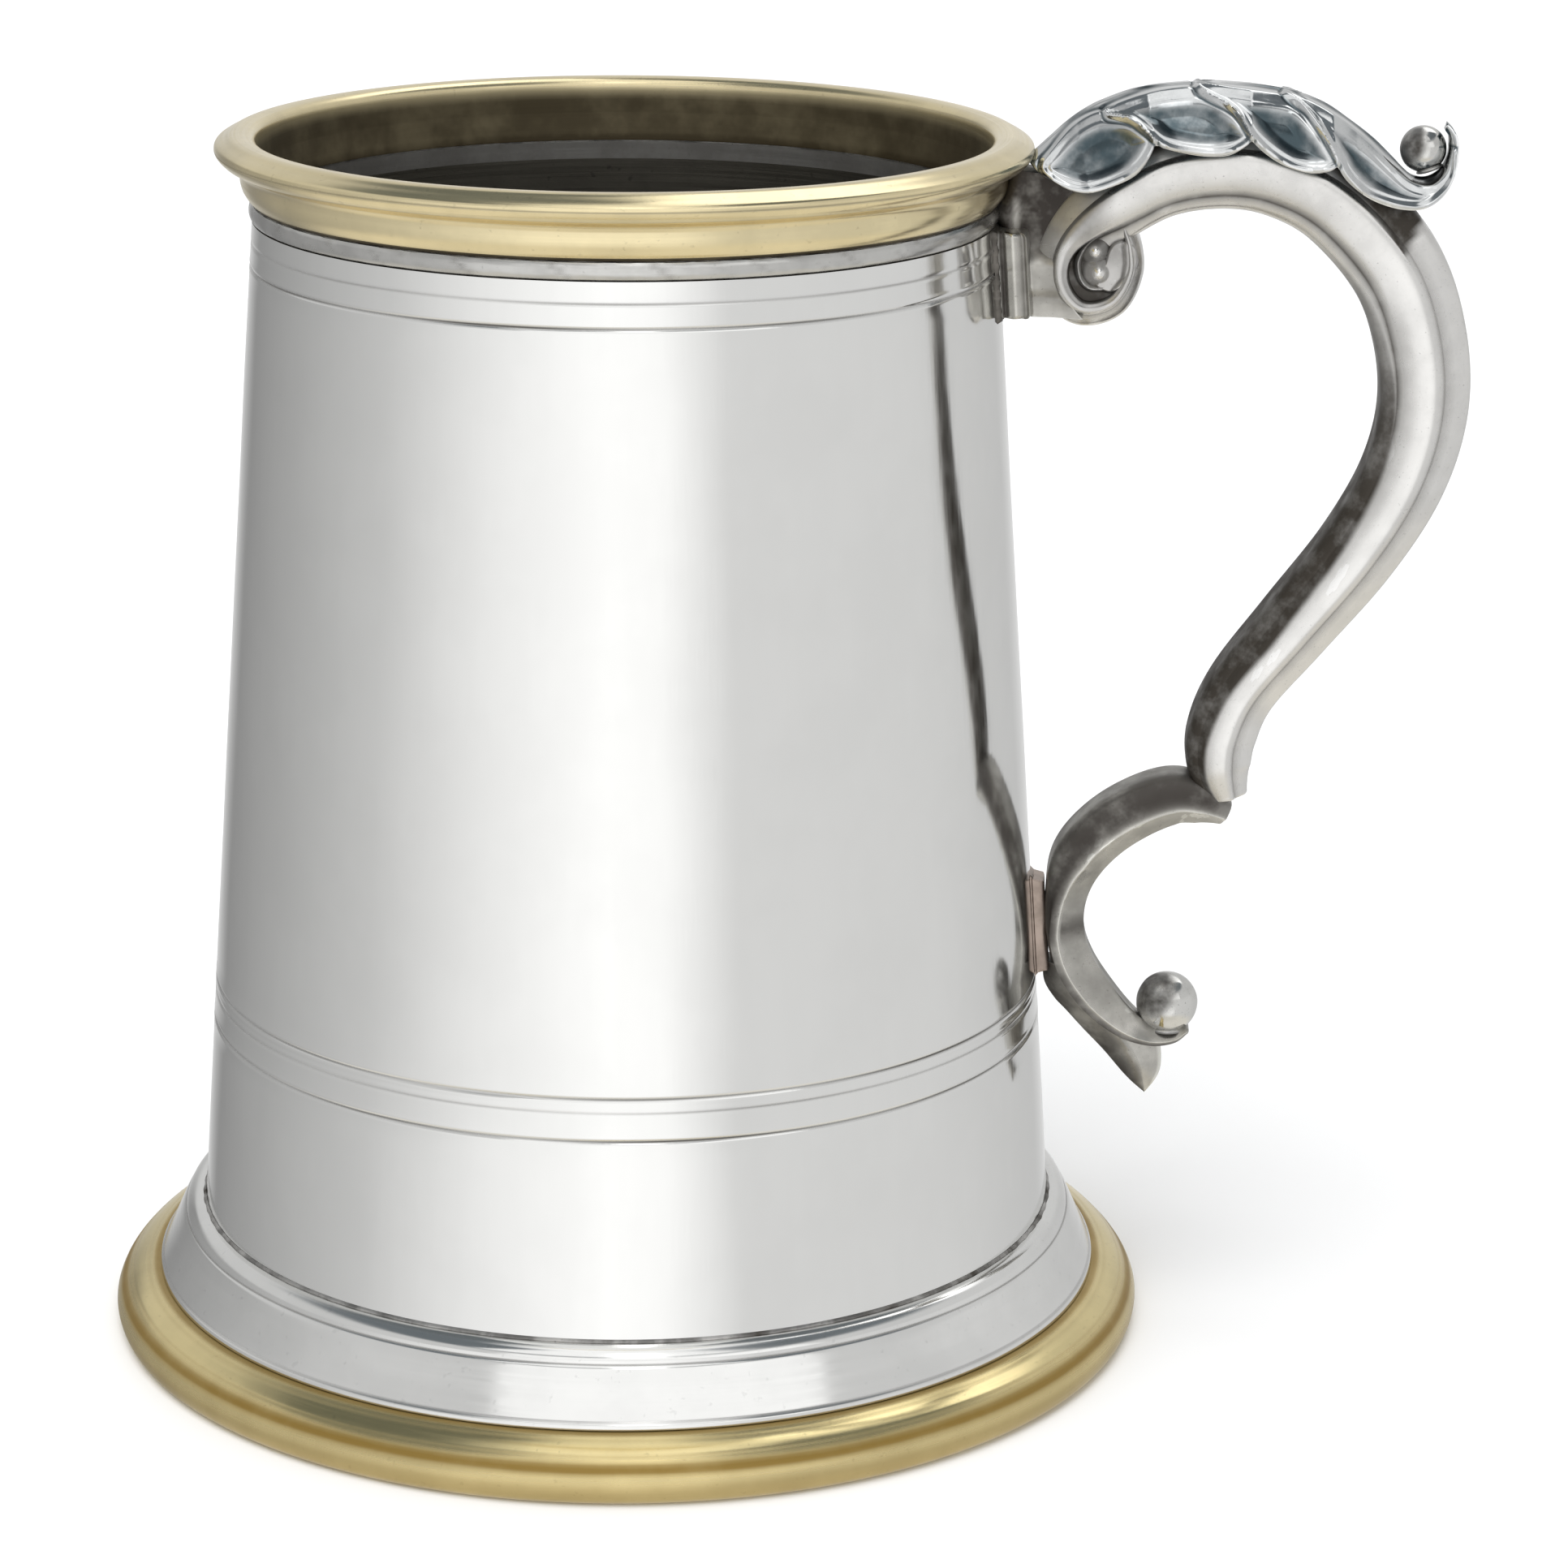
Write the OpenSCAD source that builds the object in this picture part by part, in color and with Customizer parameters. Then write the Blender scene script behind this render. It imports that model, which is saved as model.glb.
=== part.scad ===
// Pewter pint tankard with a brass rim mount, a brass foot ring and a cast double-scroll handle.
// Millimetres, +Z up. The origin is the centre of the plane that the foot ring rests on.
// The handle points along +X.

/* [Body] */
// Height of the tankard from the table to the top of the rim
rim_top = 127; // [125:0.5:129]
// Radius that the body's cone would have at the table
cone_base_r = 46.26; // [46:0.02:46.6]
// How much the cone's radius shrinks per millimetre of height
cone_slope = 0.0705; // [0.068:0.0005:0.073]
// Thickness of the body's sheet
wall = 1.3; // [1:0.1:1.6]
// Depth of the incised lines on the body
line_depth = 0.12; // [0.05:0.01:0.25]

/* [Foot] */
// Outer radius of the brass foot ring
foot_r = 55.1; // [54.6:0.1:55.6]
// Height of the joint between the brass ring and the pewter skirt
foot_joint = 6; // [5.5:0.1:6.4]

/* [Handle] */
// Thickness of the handle bar from side to side, at its thickest
bar_depth = 9.6; // [8:0.1:11]
// Diameter of the thumb ball
thumb_ball_d = 4.7; // [4:0.1:6]
// Diameter of the ball on the lower scroll
lower_ball_d = 6.5; // [5:0.1:7]
// Width of the leaf that covers the top of the arch
leaf_depth = 12.4; // [11:0.1:14]

/* [Hidden] */
$fn = 96;

// Heights that the pieces share
drum_foot = 12.4;
drum_top = 118.3;
joint_z = 120.3;
floor_z = 13.9;
floor_t = 1.5;
// Clearance that keeps soldered pieces from sharing volume
skin = 0.02;
// Steps between two control points of a swept bar
steps = 4;

// Outer radius of the body's cone at height z
function cone_r(z) = cone_base_r - cone_slope * z;

// ---------------------------------------------------------------- sweeping

// Catmull-Rom value between b and c, with t from 0 to 1
function spline(a, b, c, d, t) =
    0.5 * (2 * b + (c - a) * t + (2 * a - 5 * b + 4 * c - d) * t * t
        + (3 * b - a - 3 * c + d) * t * t * t);

// A smooth run through the control points, n steps to each span
function smooth(p, n) = [
    for (i = [0 : len(p) - 2])
        for (k = [0 : n - (i == len(p) - 2 ? 0 : 1)])
            spline(p[max(i - 1, 0)], p[i], p[i + 1], p[min(i + 2, len(p) - 1)], k / n)
];

// Unit tangent of the run at station i, in the XZ plane
function tangent(s, i) =
    let (a = s[max(i - 1, 0)], b = s[min(i + 1, len(s) - 1)])
    let (d = [b[0] - a[0], b[1] - a[1]])
    d / norm(d);

// One ring: section points are [across, deep] in units of the station's width and depth
function ring(s, i, section) =
    let (t = tangent(s, i), n = [-t[1], t[0]])
    [for (q = section) [
        s[i][0] + n[0] * q[0] * s[i][2],
        q[1] * s[i][3],
        s[i][1] + n[1] * q[0] * s[i][2]
    ]];

// A closed bar through control points [x, z, width, depth]
module swept_bar(points, section) {
    s = smooth(points, steps);
    m = len(section);
    last = (len(s) - 1) * m;
    vertices = [for (i = [0 : len(s) - 1]) each ring(s, i, section)];
    sides = [
        for (i = [0 : len(s) - 2])
            for (j = [0 : m - 1])
                let (a = i * m + j, b = i * m + (j + 1) % m)
                each [[a, b, b + m], [a, b + m, a + m]]
    ];
    caps = [
        [for (j = [m - 1 : -1 : 0]) j],
        [for (j = [0 : m - 1]) last + j]
    ];
    polyhedron(vertices, concat(sides, caps), convexity = 10);
}

// Ten-sided section of the lower scroll: a broad back, a full side and a wide bevel on the hollow side
BAR = [
    [-0.50, -0.30], [-0.37, -0.42], [-0.09, -0.50], [0.19, -0.44], [0.50, -0.19],
    [0.50, 0.19], [0.19, 0.44], [-0.09, 0.50], [-0.37, 0.42], [-0.50, 0.30]
];
// The main scroll has the same section turned round, with its wide bevel on the outside
GRIP = [for (q = BAR) -q];

// ---------------------------------------------------------------- paths

// Main scroll, from its tail up over the arch and round the volute: [x, z, width, depth]
d = bar_depth;
SCROLL = [
    [63.0, 58.4, 4.6, 0.62 * d], [62.2, 61.5, 6.6, 0.80 * d], [62.4, 65.0, 7.2, 0.86 * d],
    [64.4, 69.9, 7.2, 0.90 * d], [69.5, 76.6, 7.7, 0.96 * d], [75.6, 84.6, 8.2, d],
    [79.9, 92.4, 8.7, d], [81.7, 100.0, 9.1, d], [81.0, 107.5, 9.4, d],
    [78.2, 114.6, 9.6, d], [72.4, 120.9, 9.4, d], [66.6, 123.9, 9.2, d],
    [60.8, 124.7, 9.0, d], [54.4, 123.4, 8.4, d], [48.9, 120.0, 7.8, 0.96 * d],
    [45.4, 116.4, 6.4, 0.90 * d], [44.8, 112.9, 5.6, 0.86 * d], [46.6, 110.4, 4.8, 0.82 * d],
    [49.5, 110.9, 4.2, 0.80 * d], [51.2, 113.6, 3.3, 0.78 * d], [50.6, 116.2, 2.6, 0.76 * d]
];

// Leaf on the arch: [x, z, height, depth], the crown line less half the height
f = leaf_depth;
LEAF = [
    [42.0, 124.5, 2.0, 0.52 * f], [45.8, 125.8, 5.6, 0.84 * f], [50.4, 127.9, 7.4, 0.98 * f],
    [55.5, 129.5, 6.2, f], [61.0, 129.6, 6.4, f], [66.0, 128.5, 7.1, f],
    [70.6, 126.7, 6.5, 0.94 * f], [75.0, 124.3, 5.0, 0.84 * f], [79.4, 122.8, 3.0, 0.66 * f],
    [82.2, 124.4, 2.2, 0.50 * f], [83.0, 127.0, 1.2, 0.36 * f], [82.2, 128.6, 0.8, 0.28 * f]
];
LEAF_SECTION = [
    [-0.50, -0.40], [-0.14, -0.50], [0.24, -0.40], [0.50, -0.10],
    [0.50, 0.10], [0.24, 0.40], [-0.14, 0.50], [-0.50, 0.40]
];

// Lower scroll, from under the main scroll's tail round to the cradle of its ball
LOWER = [
    [62.9, 56.4, 2.8, 0.58 * d], [60.6, 57.4, 4.6, 0.66 * d], [57.6, 57.8, 5.6, 0.70 * d],
    [53.9, 56.4, 5.9, 0.72 * d], [50.3, 53.9, 5.9, 0.72 * d], [47.7, 50.7, 5.6, 0.70 * d],
    [46.6, 46.8, 4.4, 0.66 * d], [46.6, 42.8, 4.0, 0.62 * d], [47.7, 39.2, 4.2, 0.60 * d],
    [50.1, 35.7, 4.0, 0.58 * d], [53.0, 32.9, 3.2, 0.54 * d], [55.8, 31.5, 2.2, 0.50 * d],
    [58.2, 31.4, 1.5, 0.44 * d], [59.6, 32.1, 0.9, 0.36 * d]
];

// Side outline of the spur that grows from the lower scroll
SPUR = [
    [45.2, 37.6], [46.8, 34.0], [51.0, 29.5], [55.5, 24.6], [56.8, 26.2], [57.2, 28.2],
    [57.0, 30.2], [53.4, 32.4], [50.2, 35.4], [47.6, 39.6]
];

// Side outline of the web between the upper pad and the volute
BRACKET = [
    [40.9, 109.4], [43.2, 108.9], [45.2, 111.0], [44.6, 116.0], [47.2, 120.0],
    [46.4, 122.6], [43.2, 122.6], [41.2, 123.6], [39.3, 122.8], [39.2, 121.8],
    [38.4, 120.4], [38.4, 118.2], [40.2, 118.1]
];

// ---------------------------------------------------------------- turned pieces

// V-shaped line cut into the cone at height z
module cone_line(z, deep) {
    rotate_extrude()
        polygon([
            [cone_r(z) - deep, z], [cone_r(z) + 1, z + deep + 1], [cone_r(z) + 1, z - deep - 1]
        ]);
}

module body_drum() {
    lines = [[116.2, 0.5], [113.8, 1], [38.3, 1], [36.9, 0.5], [34.0, 1]];
    color("gainsboro")
        difference() {
            rotate_extrude()
                polygon([
                    [cone_r(drum_foot) - wall, drum_foot], [cone_r(drum_foot), drum_foot],
                    [cone_r(drum_top), drum_top], [cone_r(drum_top) - wall, drum_top]
                ]);
            for (l = lines)
                cone_line(l[0], line_depth * l[1]);
        }
}

module base_plate() {
    rim_r = cone_r(drum_foot) - wall - skin;
    color("darkgray")
        rotate_extrude()
            polygon([
                [0, drum_foot], [rim_r, drum_foot], [rim_r - cone_slope * floor_t, floor_z], [0, floor_z]
            ]);
}

module neck_ring() {
    inner = cone_r(drum_top) - wall;
    color("gray")
        rotate_extrude()
            polygon([
                [inner, drum_top], [37.65, drum_top], [38.0, drum_top + 0.45], [38.2, drum_top + 1.0],
                [38.1, drum_top + 1.5], [37.65, joint_z - 0.15], [inner, joint_z - 0.15]
            ]);
}

module rim_solder() {
    inner = cone_r(drum_top) - wall;
    color("dimgray")
        rotate_extrude()
            polygon([
                [inner, joint_z - 0.15], [37.5, joint_z - 0.15], [37.5, joint_z], [inner, joint_z]
            ]);
}

// Brass mount: an overhanging lip on a quarter-round band, open inside
module rim_mount() {
    inner = cone_r(drum_top) - wall;
    lip = rim_top - 2.6;
    color("darkkhaki")
        rotate_extrude()
            polygon([
                [inner, joint_z], [37.6, joint_z], [38.3, joint_z + 0.5], [38.8, joint_z + 1.1],
                [39.1, joint_z + 1.9], [39.15, joint_z + 2.8], [39.35, joint_z + 3.3],
                [40.1, joint_z + 3.7], [40.9, lip + 0.1], [41.35, lip + 0.6], [41.55, lip + 1.2],
                [41.5, lip + 1.7], [41.1, lip + 2.1], [40.3, lip + 2.45], [39.3, rim_top],
                [38.4, lip + 2.45], [37.7, lip + 2.0], [37.3, lip + 1.3], [37.1, lip + 0.3],
                [37.0, lip - 1.0]
            ]);
}

module foot_skirt() {
    top = drum_foot + 1.0;
    color("lightgray")
        rotate_extrude()
            polygon([
                [42.6, drum_foot - 1.2], [46.4, drum_foot - 1.2], [48.9, foot_joint + 0.1],
                [50.3, foot_joint + 0.1], [50.25, 6.6], [50.05, 6.8], [47.75, 11.65], [47.45, 11.9],
                [47.4, 12.3], [46.95, 12.9], [46.3, 13.25], [cone_r(top) + skin, top],
                [cone_r(drum_foot) + skin, drum_foot], [42.6, drum_foot]
            ]);
}

module foot_solder() {
    low = drum_foot + 1.0;
    color("dimgray")
        rotate_extrude()
            polygon([
                [cone_r(low) + skin, low], [cone_r(low) + 0.62, low - 0.02],
                [cone_r(low + 0.6) + skin, low + 0.6]
            ]);
}

module foot_ring() {
    r = foot_r;
    color("darkkhaki")
        rotate_extrude()
            polygon([
                [r - 4.3, 0], [r - 1.1, 0], [r - 0.5, 0.45], [r - 0.1, 1.2], [r, 2.0],
                [r - 0.2, 2.9], [r - 0.8, 3.9], [r - 1.7, 4.75], [r - 2.9, 5.45],
                [r - 4.4, foot_joint], [r - 7.6, foot_joint], [r - 7.6, foot_joint - 1.2],
                [r - 5.8, foot_joint - 1.8], [r - 4.8, 1.2]
            ]);
}

// ---------------------------------------------------------------- handle

module handle_bar() {
    swept_bar(SCROLL, GRIP);
}

module handle_scroll() {
    color("silver") handle_bar();
}

// Boss at the volute's eye, standing out of both faces of the scroll
module volute_boss() {
    color("gray")
        difference() {
            translate([48.4, 0, 114.1])
                rotate([90, 0, 0])
                    cylinder(h = 0.84 * d, r = 1.5, center = true);
            handle_bar();
        }
}

// Ball of a given diameter in the handle's plane
module ball(x, z, size) {
    translate([x, 0, z])
        sphere(d = size, $fn = 48);
}

module thumb_leaf() {
    color("slategray")
        difference() {
            swept_bar(LEAF, LEAF_SECTION);
            handle_bar();
            ball(80.6, 126.3, thumb_ball_d + 2 * skin);
        }
}

module thumb_ball() {
    color("lightgray") ball(80.6, 126.3, thumb_ball_d);
}

module upper_bracket() {
    color("dimgray")
        difference() {
            rotate([90, 0, 0])
                linear_extrude(height = 0.6 * d, center = true)
                    polygon(BRACKET);
            handle_bar();
            upper_saddle();
        }
}

// Saddle between two heights that follows the cone, from depth a to depth b off the body
module saddle(z0, z1, a, b, half_width) {
    intersection() {
        rotate_extrude()
            polygon([
                [cone_r(z0) + a, z0], [cone_r(z0) + b, z0], [cone_r(z1) + b, z1], [cone_r(z1) + a, z1]
            ]);
        translate([20, -half_width, z0 - 1])
            cube([40, 2 * half_width, z1 - z0 + 2]);
    }
}

module upper_saddle() {
    saddle(109.2, 118.0, 0.35, 3.3, 5.4);
}

module upper_pad() {
    color("silver") upper_saddle();
}

module upper_solder() {
    color("rosybrown") saddle(108.7, 118.2, 0.0, 0.35, 5.9);
}

module lower_bar() {
    swept_bar(LOWER, BAR);
}

module lower_scroll() {
    color("gray")
        difference() {
            union() {
                lower_bar();
                rotate([90, 0, 0])
                    linear_extrude(height = 0.34 * d, center = true)
                        polygon(SPUR);
            }
            handle_bar();
            ball(57.6, 34.9, lower_ball_d + 2 * skin);
        }
}

module lower_ball() {
    color("lightgray") ball(57.6, 34.9, lower_ball_d);
}

module lower_pad() {
    color("gray")
        difference() {
            saddle(38.4, 48.8, 0.4, 2.0, 3.2);
            lower_bar();
        }
}

module lower_solder() {
    color("rosybrown") saddle(38.0, 49.2, 0.0, 0.4, 3.6);
}

body_drum();
base_plate();
neck_ring();
rim_mount();
rim_solder();
foot_skirt();
foot_solder();
foot_ring();
handle_scroll();
volute_boss();
thumb_leaf();
thumb_ball();
upper_bracket();
upper_pad();
upper_solder();
lower_scroll();
lower_ball();
lower_pad();
lower_solder();
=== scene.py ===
import math

import bmesh
import bpy
import numpy as np
from mathutils import Matrix, Vector


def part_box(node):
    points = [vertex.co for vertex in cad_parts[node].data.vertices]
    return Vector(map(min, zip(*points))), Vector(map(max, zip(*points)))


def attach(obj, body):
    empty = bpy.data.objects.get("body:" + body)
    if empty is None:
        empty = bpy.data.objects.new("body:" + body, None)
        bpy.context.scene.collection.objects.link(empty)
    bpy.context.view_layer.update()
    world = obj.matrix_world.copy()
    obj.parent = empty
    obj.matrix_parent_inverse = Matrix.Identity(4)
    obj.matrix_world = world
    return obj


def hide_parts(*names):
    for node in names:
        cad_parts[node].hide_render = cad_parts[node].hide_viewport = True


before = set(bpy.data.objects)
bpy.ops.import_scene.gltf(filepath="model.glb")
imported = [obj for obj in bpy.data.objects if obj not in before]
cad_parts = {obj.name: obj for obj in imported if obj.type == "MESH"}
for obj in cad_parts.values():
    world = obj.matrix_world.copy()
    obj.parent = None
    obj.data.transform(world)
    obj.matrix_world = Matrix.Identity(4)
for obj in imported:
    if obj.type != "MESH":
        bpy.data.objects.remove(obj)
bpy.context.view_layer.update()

# Outlines and sizes are in millimetres, as in the CAD source. Meshes are made in metres.
MM = 0.001
SIDES = 320


# ------ frame

def box_mm(node):
    """Lowest and highest corner of a CAD node, in millimetres."""
    low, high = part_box(node)
    return np.array(low) / MM, np.array(high) / MM


def z_range(node):
    """Lowest and highest z of a CAD node, in millimetres."""
    low, high = box_mm(node)
    return low[2], high[2]


DRUM_FOOT, DRUM_TOP = z_range("body_drum")
JOINT_Z, RIM_TOP = z_range("rim_mount")
FLOOR_Z = z_range("base_plate")[1]
FOOT_R = box_mm("foot_ring")[1][0]
FOOT_JOINT = z_range("foot_ring")[1]
FOOT_TOP = 13.4
NECK_TOP = JOINT_Z - 0.15
WALL = 1.3
CONE_SLOPE = 0.0705
CONE_BASE = box_mm("body_drum")[1][0] + CONE_SLOPE * DRUM_FOOT
OTHER_SIDE = np.array([1, -1, 1])


def cone_r(z):
    """Radius of the body's outside at height z."""
    return CONE_BASE - CONE_SLOPE * z


BORE_TOP = cone_r(DRUM_TOP) - WALL


def ball_centre(node):
    """Centre and radius of a ball, in millimetres."""
    low, high = box_mm(node)
    return (low + high) / 2, (high[2] - low[2]) / 2


# ------ curves

def spline(points, steps, closed=False):
    """Catmull-Rom run through the rows of points, with this many steps to a span."""
    p = np.asarray(points, float)
    n = len(p)
    spans = n if closed else n - 1
    t = np.arange(steps)[:, None] / steps
    out = []
    for i in range(spans):
        if closed:
            a, b, c, d = p[(i - 1) % n], p[i], p[(i + 1) % n], p[(i + 2) % n]
        else:
            a, b, c, d = p[max(i - 1, 0)], p[i], p[i + 1], p[min(i + 2, n - 1)]
        out.append(0.5 * (2 * b + (c - a) * t + (2 * a - 5 * b + 4 * c - d) * t**2
                          + (3 * b - a - 3 * c + d) * t**3))
    if not closed:
        out.append(p[-1:])
    return np.concatenate(out)


def outline_from(r, z, points):
    """Outline points that are given from a corner at (r, z)."""
    return [(r + across, z + up) for across, up in points]


def refined(outline, longest):
    """The closed outline with points added so that no edge is longer than this."""
    out = []
    for a, b in zip(outline, np.roll(outline, -1, axis=0)):
        count = max(1, int(math.ceil(np.linalg.norm(b - a) / longest)))
        out.extend(a + (b - a) * k / count for k in range(count))
    return np.array(out)


def smoothstep(low, high, value):
    t = np.clip((np.asarray(value, float) - low) / (high - low), 0, 1)
    return t * t * (3 - 2 * t)


def bump(value, width):
    """Bell of height 1 at value 0."""
    return np.exp(-(np.asarray(value, float) / width) ** 2)


# ------ meshes

def placed(name, data):
    """A new object that holds this data, linked into the scene."""
    made = bpy.data.objects.new(name, data)
    bpy.context.scene.collection.objects.link(made)
    return made


def grid_faces(rows, columns, wrap_rows=False, wrap_columns=False, flip=False):
    """Quads of a rows x columns grid of vertices."""
    r = np.arange(rows if wrap_rows else rows - 1)
    c = np.arange(columns if wrap_columns else columns - 1)
    r, c = np.meshgrid(r, c, indexing="ij")
    r2, c2 = (r + 1) % rows, (c + 1) % columns
    quads = np.stack([r * columns + c, r * columns + c2, r2 * columns + c2, r2 * columns + c], -1)
    quads = quads.reshape(-1, 4)
    return (quads[:, ::-1] if flip else quads).tolist()


def add_piece(name, verts, faces, material, nodes, tarnish_and_shade=None, sharp=40.0, weld=False):
    """A mesh piece that stands for CAD nodes and rides on the root body."""
    mesh = bpy.data.meshes.new(name)
    mesh.from_pydata((np.asarray(verts, float) * MM).tolist(), [], faces)
    attribute = mesh.attributes.new("tarnish_and_shade", "FLOAT", "POINT")
    values = np.zeros(len(verts)) if tarnish_and_shade is None else np.asarray(tarnish_and_shade, float)
    attribute.data.foreach_set("value", np.clip(values, 0, 1).astype(np.float32).ravel())
    work = bmesh.new()
    work.from_mesh(mesh)
    if weld:
        bmesh.ops.remove_doubles(work, verts=work.verts, dist=1e-6)
        bmesh.ops.dissolve_degenerate(work, dist=1e-7, edges=work.edges)
    bmesh.ops.recalc_face_normals(work, faces=work.faces)
    work.to_mesh(mesh)
    work.free()
    mesh.shade_smooth()
    mesh.set_sharp_from_angle(angle=math.radians(sharp))
    piece = placed(name, mesh)
    mesh.materials.append(material)
    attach(piece, "root")
    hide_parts(*nodes)
    return piece


def turned(name, outline, material, nodes, radial=None, tarnish_and_shade=None, sharp=40.0, weld=False):
    """A closed outline of (r, z) turned round the body's axis. radial adds to r, from angle, r and z."""
    angle = (np.arange(SIDES) * 2 * math.pi / SIDES)[:, None]
    r = np.broadcast_to(outline[None, :, 0], (SIDES, len(outline)))
    z = np.broadcast_to(outline[None, :, 1], (SIDES, len(outline)))
    aged_and_shaded = np.zeros_like(r) if tarnish_and_shade is None else np.broadcast_to(tarnish_and_shade(angle, r, z), r.shape)
    if radial is not None:
        r = r + radial(angle, r, z)
    verts = np.stack([r * np.cos(angle), r * np.sin(angle), z], -1).reshape(-1, 3)
    faces = grid_faces(SIDES, len(outline), True, True)
    return add_piece(name, verts, faces, material, nodes, aged_and_shaded.ravel(), sharp, weld)


# ------ node graphs

class Graph:
    """A few shorthands for building a node tree."""

    def __init__(self, tree):
        self.tree = tree
        tree.nodes.clear()

    def node(self, kind, inputs=None, **settings):
        made = self.tree.nodes.new(kind)
        for key, value in settings.items():
            setattr(made, key, value)
        for key, value in (inputs or {}).items():
            self.put(value, made.inputs[key])
        return made

    def put(self, value, socket):
        if isinstance(value, bpy.types.NodeSocket):
            self.tree.links.new(value, socket)
        else:
            socket.default_value = value

    def math(self, operation, *values, clamp=False):
        inputs = {i: v for i, v in enumerate(values)}
        return self.node("ShaderNodeMath", inputs, operation=operation, use_clamp=clamp).outputs[0]

    def times(self, a, b):
        return self.math("MULTIPLY", a, b)

    def combine(self, x, y, z):
        return self.node("ShaderNodeCombineXYZ", {0: x, 1: y, 2: z}).outputs[0]

    def noise(self, vector, scale, detail=3.0, rough=0.55):
        inputs = {"Vector": vector, "Scale": scale, "Detail": detail, "Roughness": rough}
        return self.node("ShaderNodeTexNoise", inputs).outputs["Fac"]

    def remap(self, value, low, high, out_low=0.0, out_high=1.0):
        inputs = {0: value, 1: low, 2: high, 3: out_low, 4: out_high}
        made = self.node("ShaderNodeMapRange", inputs, interpolation_type="SMOOTHSTEP")
        return made.outputs[0]

    def mix(self, factor, a, b, blend="MIX"):
        made = self.node("ShaderNodeMix", {0: factor}, data_type="RGBA", blend_type=blend)
        self.put(a, made.inputs[6])
        self.put(b, made.inputs[7])
        return made.outputs[2]

    def ramp(self, factor, stops):
        made = self.node("ShaderNodeValToRGB", {0: factor})
        made.color_ramp.interpolation = "LINEAR"
        elements = made.color_ramp.elements
        while len(elements) > 1:
            elements.remove(elements[-1])
        for i, (place, colour) in enumerate(stops):
            element = elements[0] if i == 0 else elements.new(place)
            element.position = place
            element.color = (*colour, 1.0)
        return made.outputs[0]


def rgba(colour):
    return (*colour, 1.0)


def metal(name, colour, roughness, streaks, streak_depth, mottle=0.05, mottle_scale=90.0,
          tarnish_and_shade_colour=(0.05, 0.042, 0.032), speckle=0.0, wear=0.0, rough_spread=0.05, clouds=1.0,
          dull=0.3):
    """Brushed metal.

    streaks is the (x, y, z, r) stretch of the brushing, per metre. clouds scales the patchiness of the
    metal. The stored attribute darkens it towards its tarnish colour, both for patina and for painted shade,
    and dull is the roughness that its full value adds.
    """
    material = bpy.data.materials.new(name)
    material.use_nodes = True
    g = Graph(material.node_tree)
    place = g.node("ShaderNodeTexCoord").outputs["Object"]
    x, y, z = g.node("ShaderNodeSeparateXYZ", {0: place}).outputs
    radius = g.math("SQRT", g.math("ADD", g.times(x, x), g.times(y, y)))
    along = g.math("ADD", g.times(z, streaks[2]), g.times(radius, streaks[3]))
    brushed = g.combine(g.times(x, streaks[0]), g.times(y, streaks[1]), along)
    fine = g.noise(brushed, 1.0, 2.0, 0.6)
    broad = g.noise(brushed, 0.23, 2.0, 0.5)
    patches = g.noise(place, mottle_scale, 4.0, 0.6)
    spots = g.noise(place, mottle_scale * 14, 2.0, 0.5)
    aged_and_shaded = g.node("ShaderNodeAttribute", attribute_name="tarnish_and_shade").outputs["Fac"]
    patchy = g.remap(patches, 0.25, 0.62, 1 - 0.45 * clouds, 1 + 0.15 * clouds)
    aged_and_shaded = g.math("MULTIPLY", aged_and_shaded, patchy, clamp=True)
    dark = tuple(c * (1 - 3.2 * mottle) for c in colour)
    tone = g.mix(g.remap(patches, 0.38, 0.66), rgba(colour), rgba(dark))
    tone = g.mix(g.times(g.remap(broad, 0.35, 0.7), 0.35), tone, rgba(dark))
    if speckle:
        pits = g.remap(spots, 0.66, 0.74, 0.0, speckle)
        tone = g.mix(pits, tone, rgba(tuple(c * 0.35 for c in colour)))
    if wear:
        edge = g.node("ShaderNodeNewGeometry").outputs["Pointiness"]
        bright = g.remap(edge, 0.515, 0.56, 0.0, wear)
        tone = g.mix(bright, tone, rgba(tuple(min(1, c * 1.5 + 0.1) for c in colour)))
        deep = g.remap(edge, 0.485, 0.44, 0.0, wear)
        tone = g.mix(deep, tone, rgba(tarnish_and_shade_colour))
    # Patina and painted shade both darken the colour here, where the stored attribute is high
    tone = g.mix(aged_and_shaded, tone, rgba(tarnish_and_shade_colour))
    rough = g.math("ADD", roughness, g.remap(fine, 0.3, 0.7, -rough_spread * 0.5, rough_spread))
    rough = g.math("ADD", rough, g.remap(patches, 0.35, 0.7, 0.0, rough_spread * clouds))
    rough = g.math("ADD", rough, g.times(aged_and_shaded, dull), clamp=True)
    height = g.math("ADD", fine, g.times(patches, 0.6 * clouds))
    if speckle:
        height = g.math("SUBTRACT", height, g.times(spots, 0.4))
    relief = g.node("ShaderNodeBump", {"Strength": 1.0, "Distance": streak_depth * MM, "Height": height})
    shader = g.node("ShaderNodeBsdfPrincipled", {
        "Base Color": tone,
        "Metallic": g.math("SUBTRACT", 1.0, g.times(aged_and_shaded, 1.5 * dull)),
        "Roughness": rough,
        "Normal": relief.outputs[0],
    })
    out = g.node("ShaderNodeOutputMaterial")
    g.put(shader.outputs[0], out.inputs[0])
    return material


# Brushing runs up the body, and round the rim and foot
UPRIGHT = (2600.0, 2600.0, 30.0, 0.0)
ROUND = (50.0, 50.0, 5200.0, 5200.0)
CAST = (420.0, 420.0, 420.0, 0.0)

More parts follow.
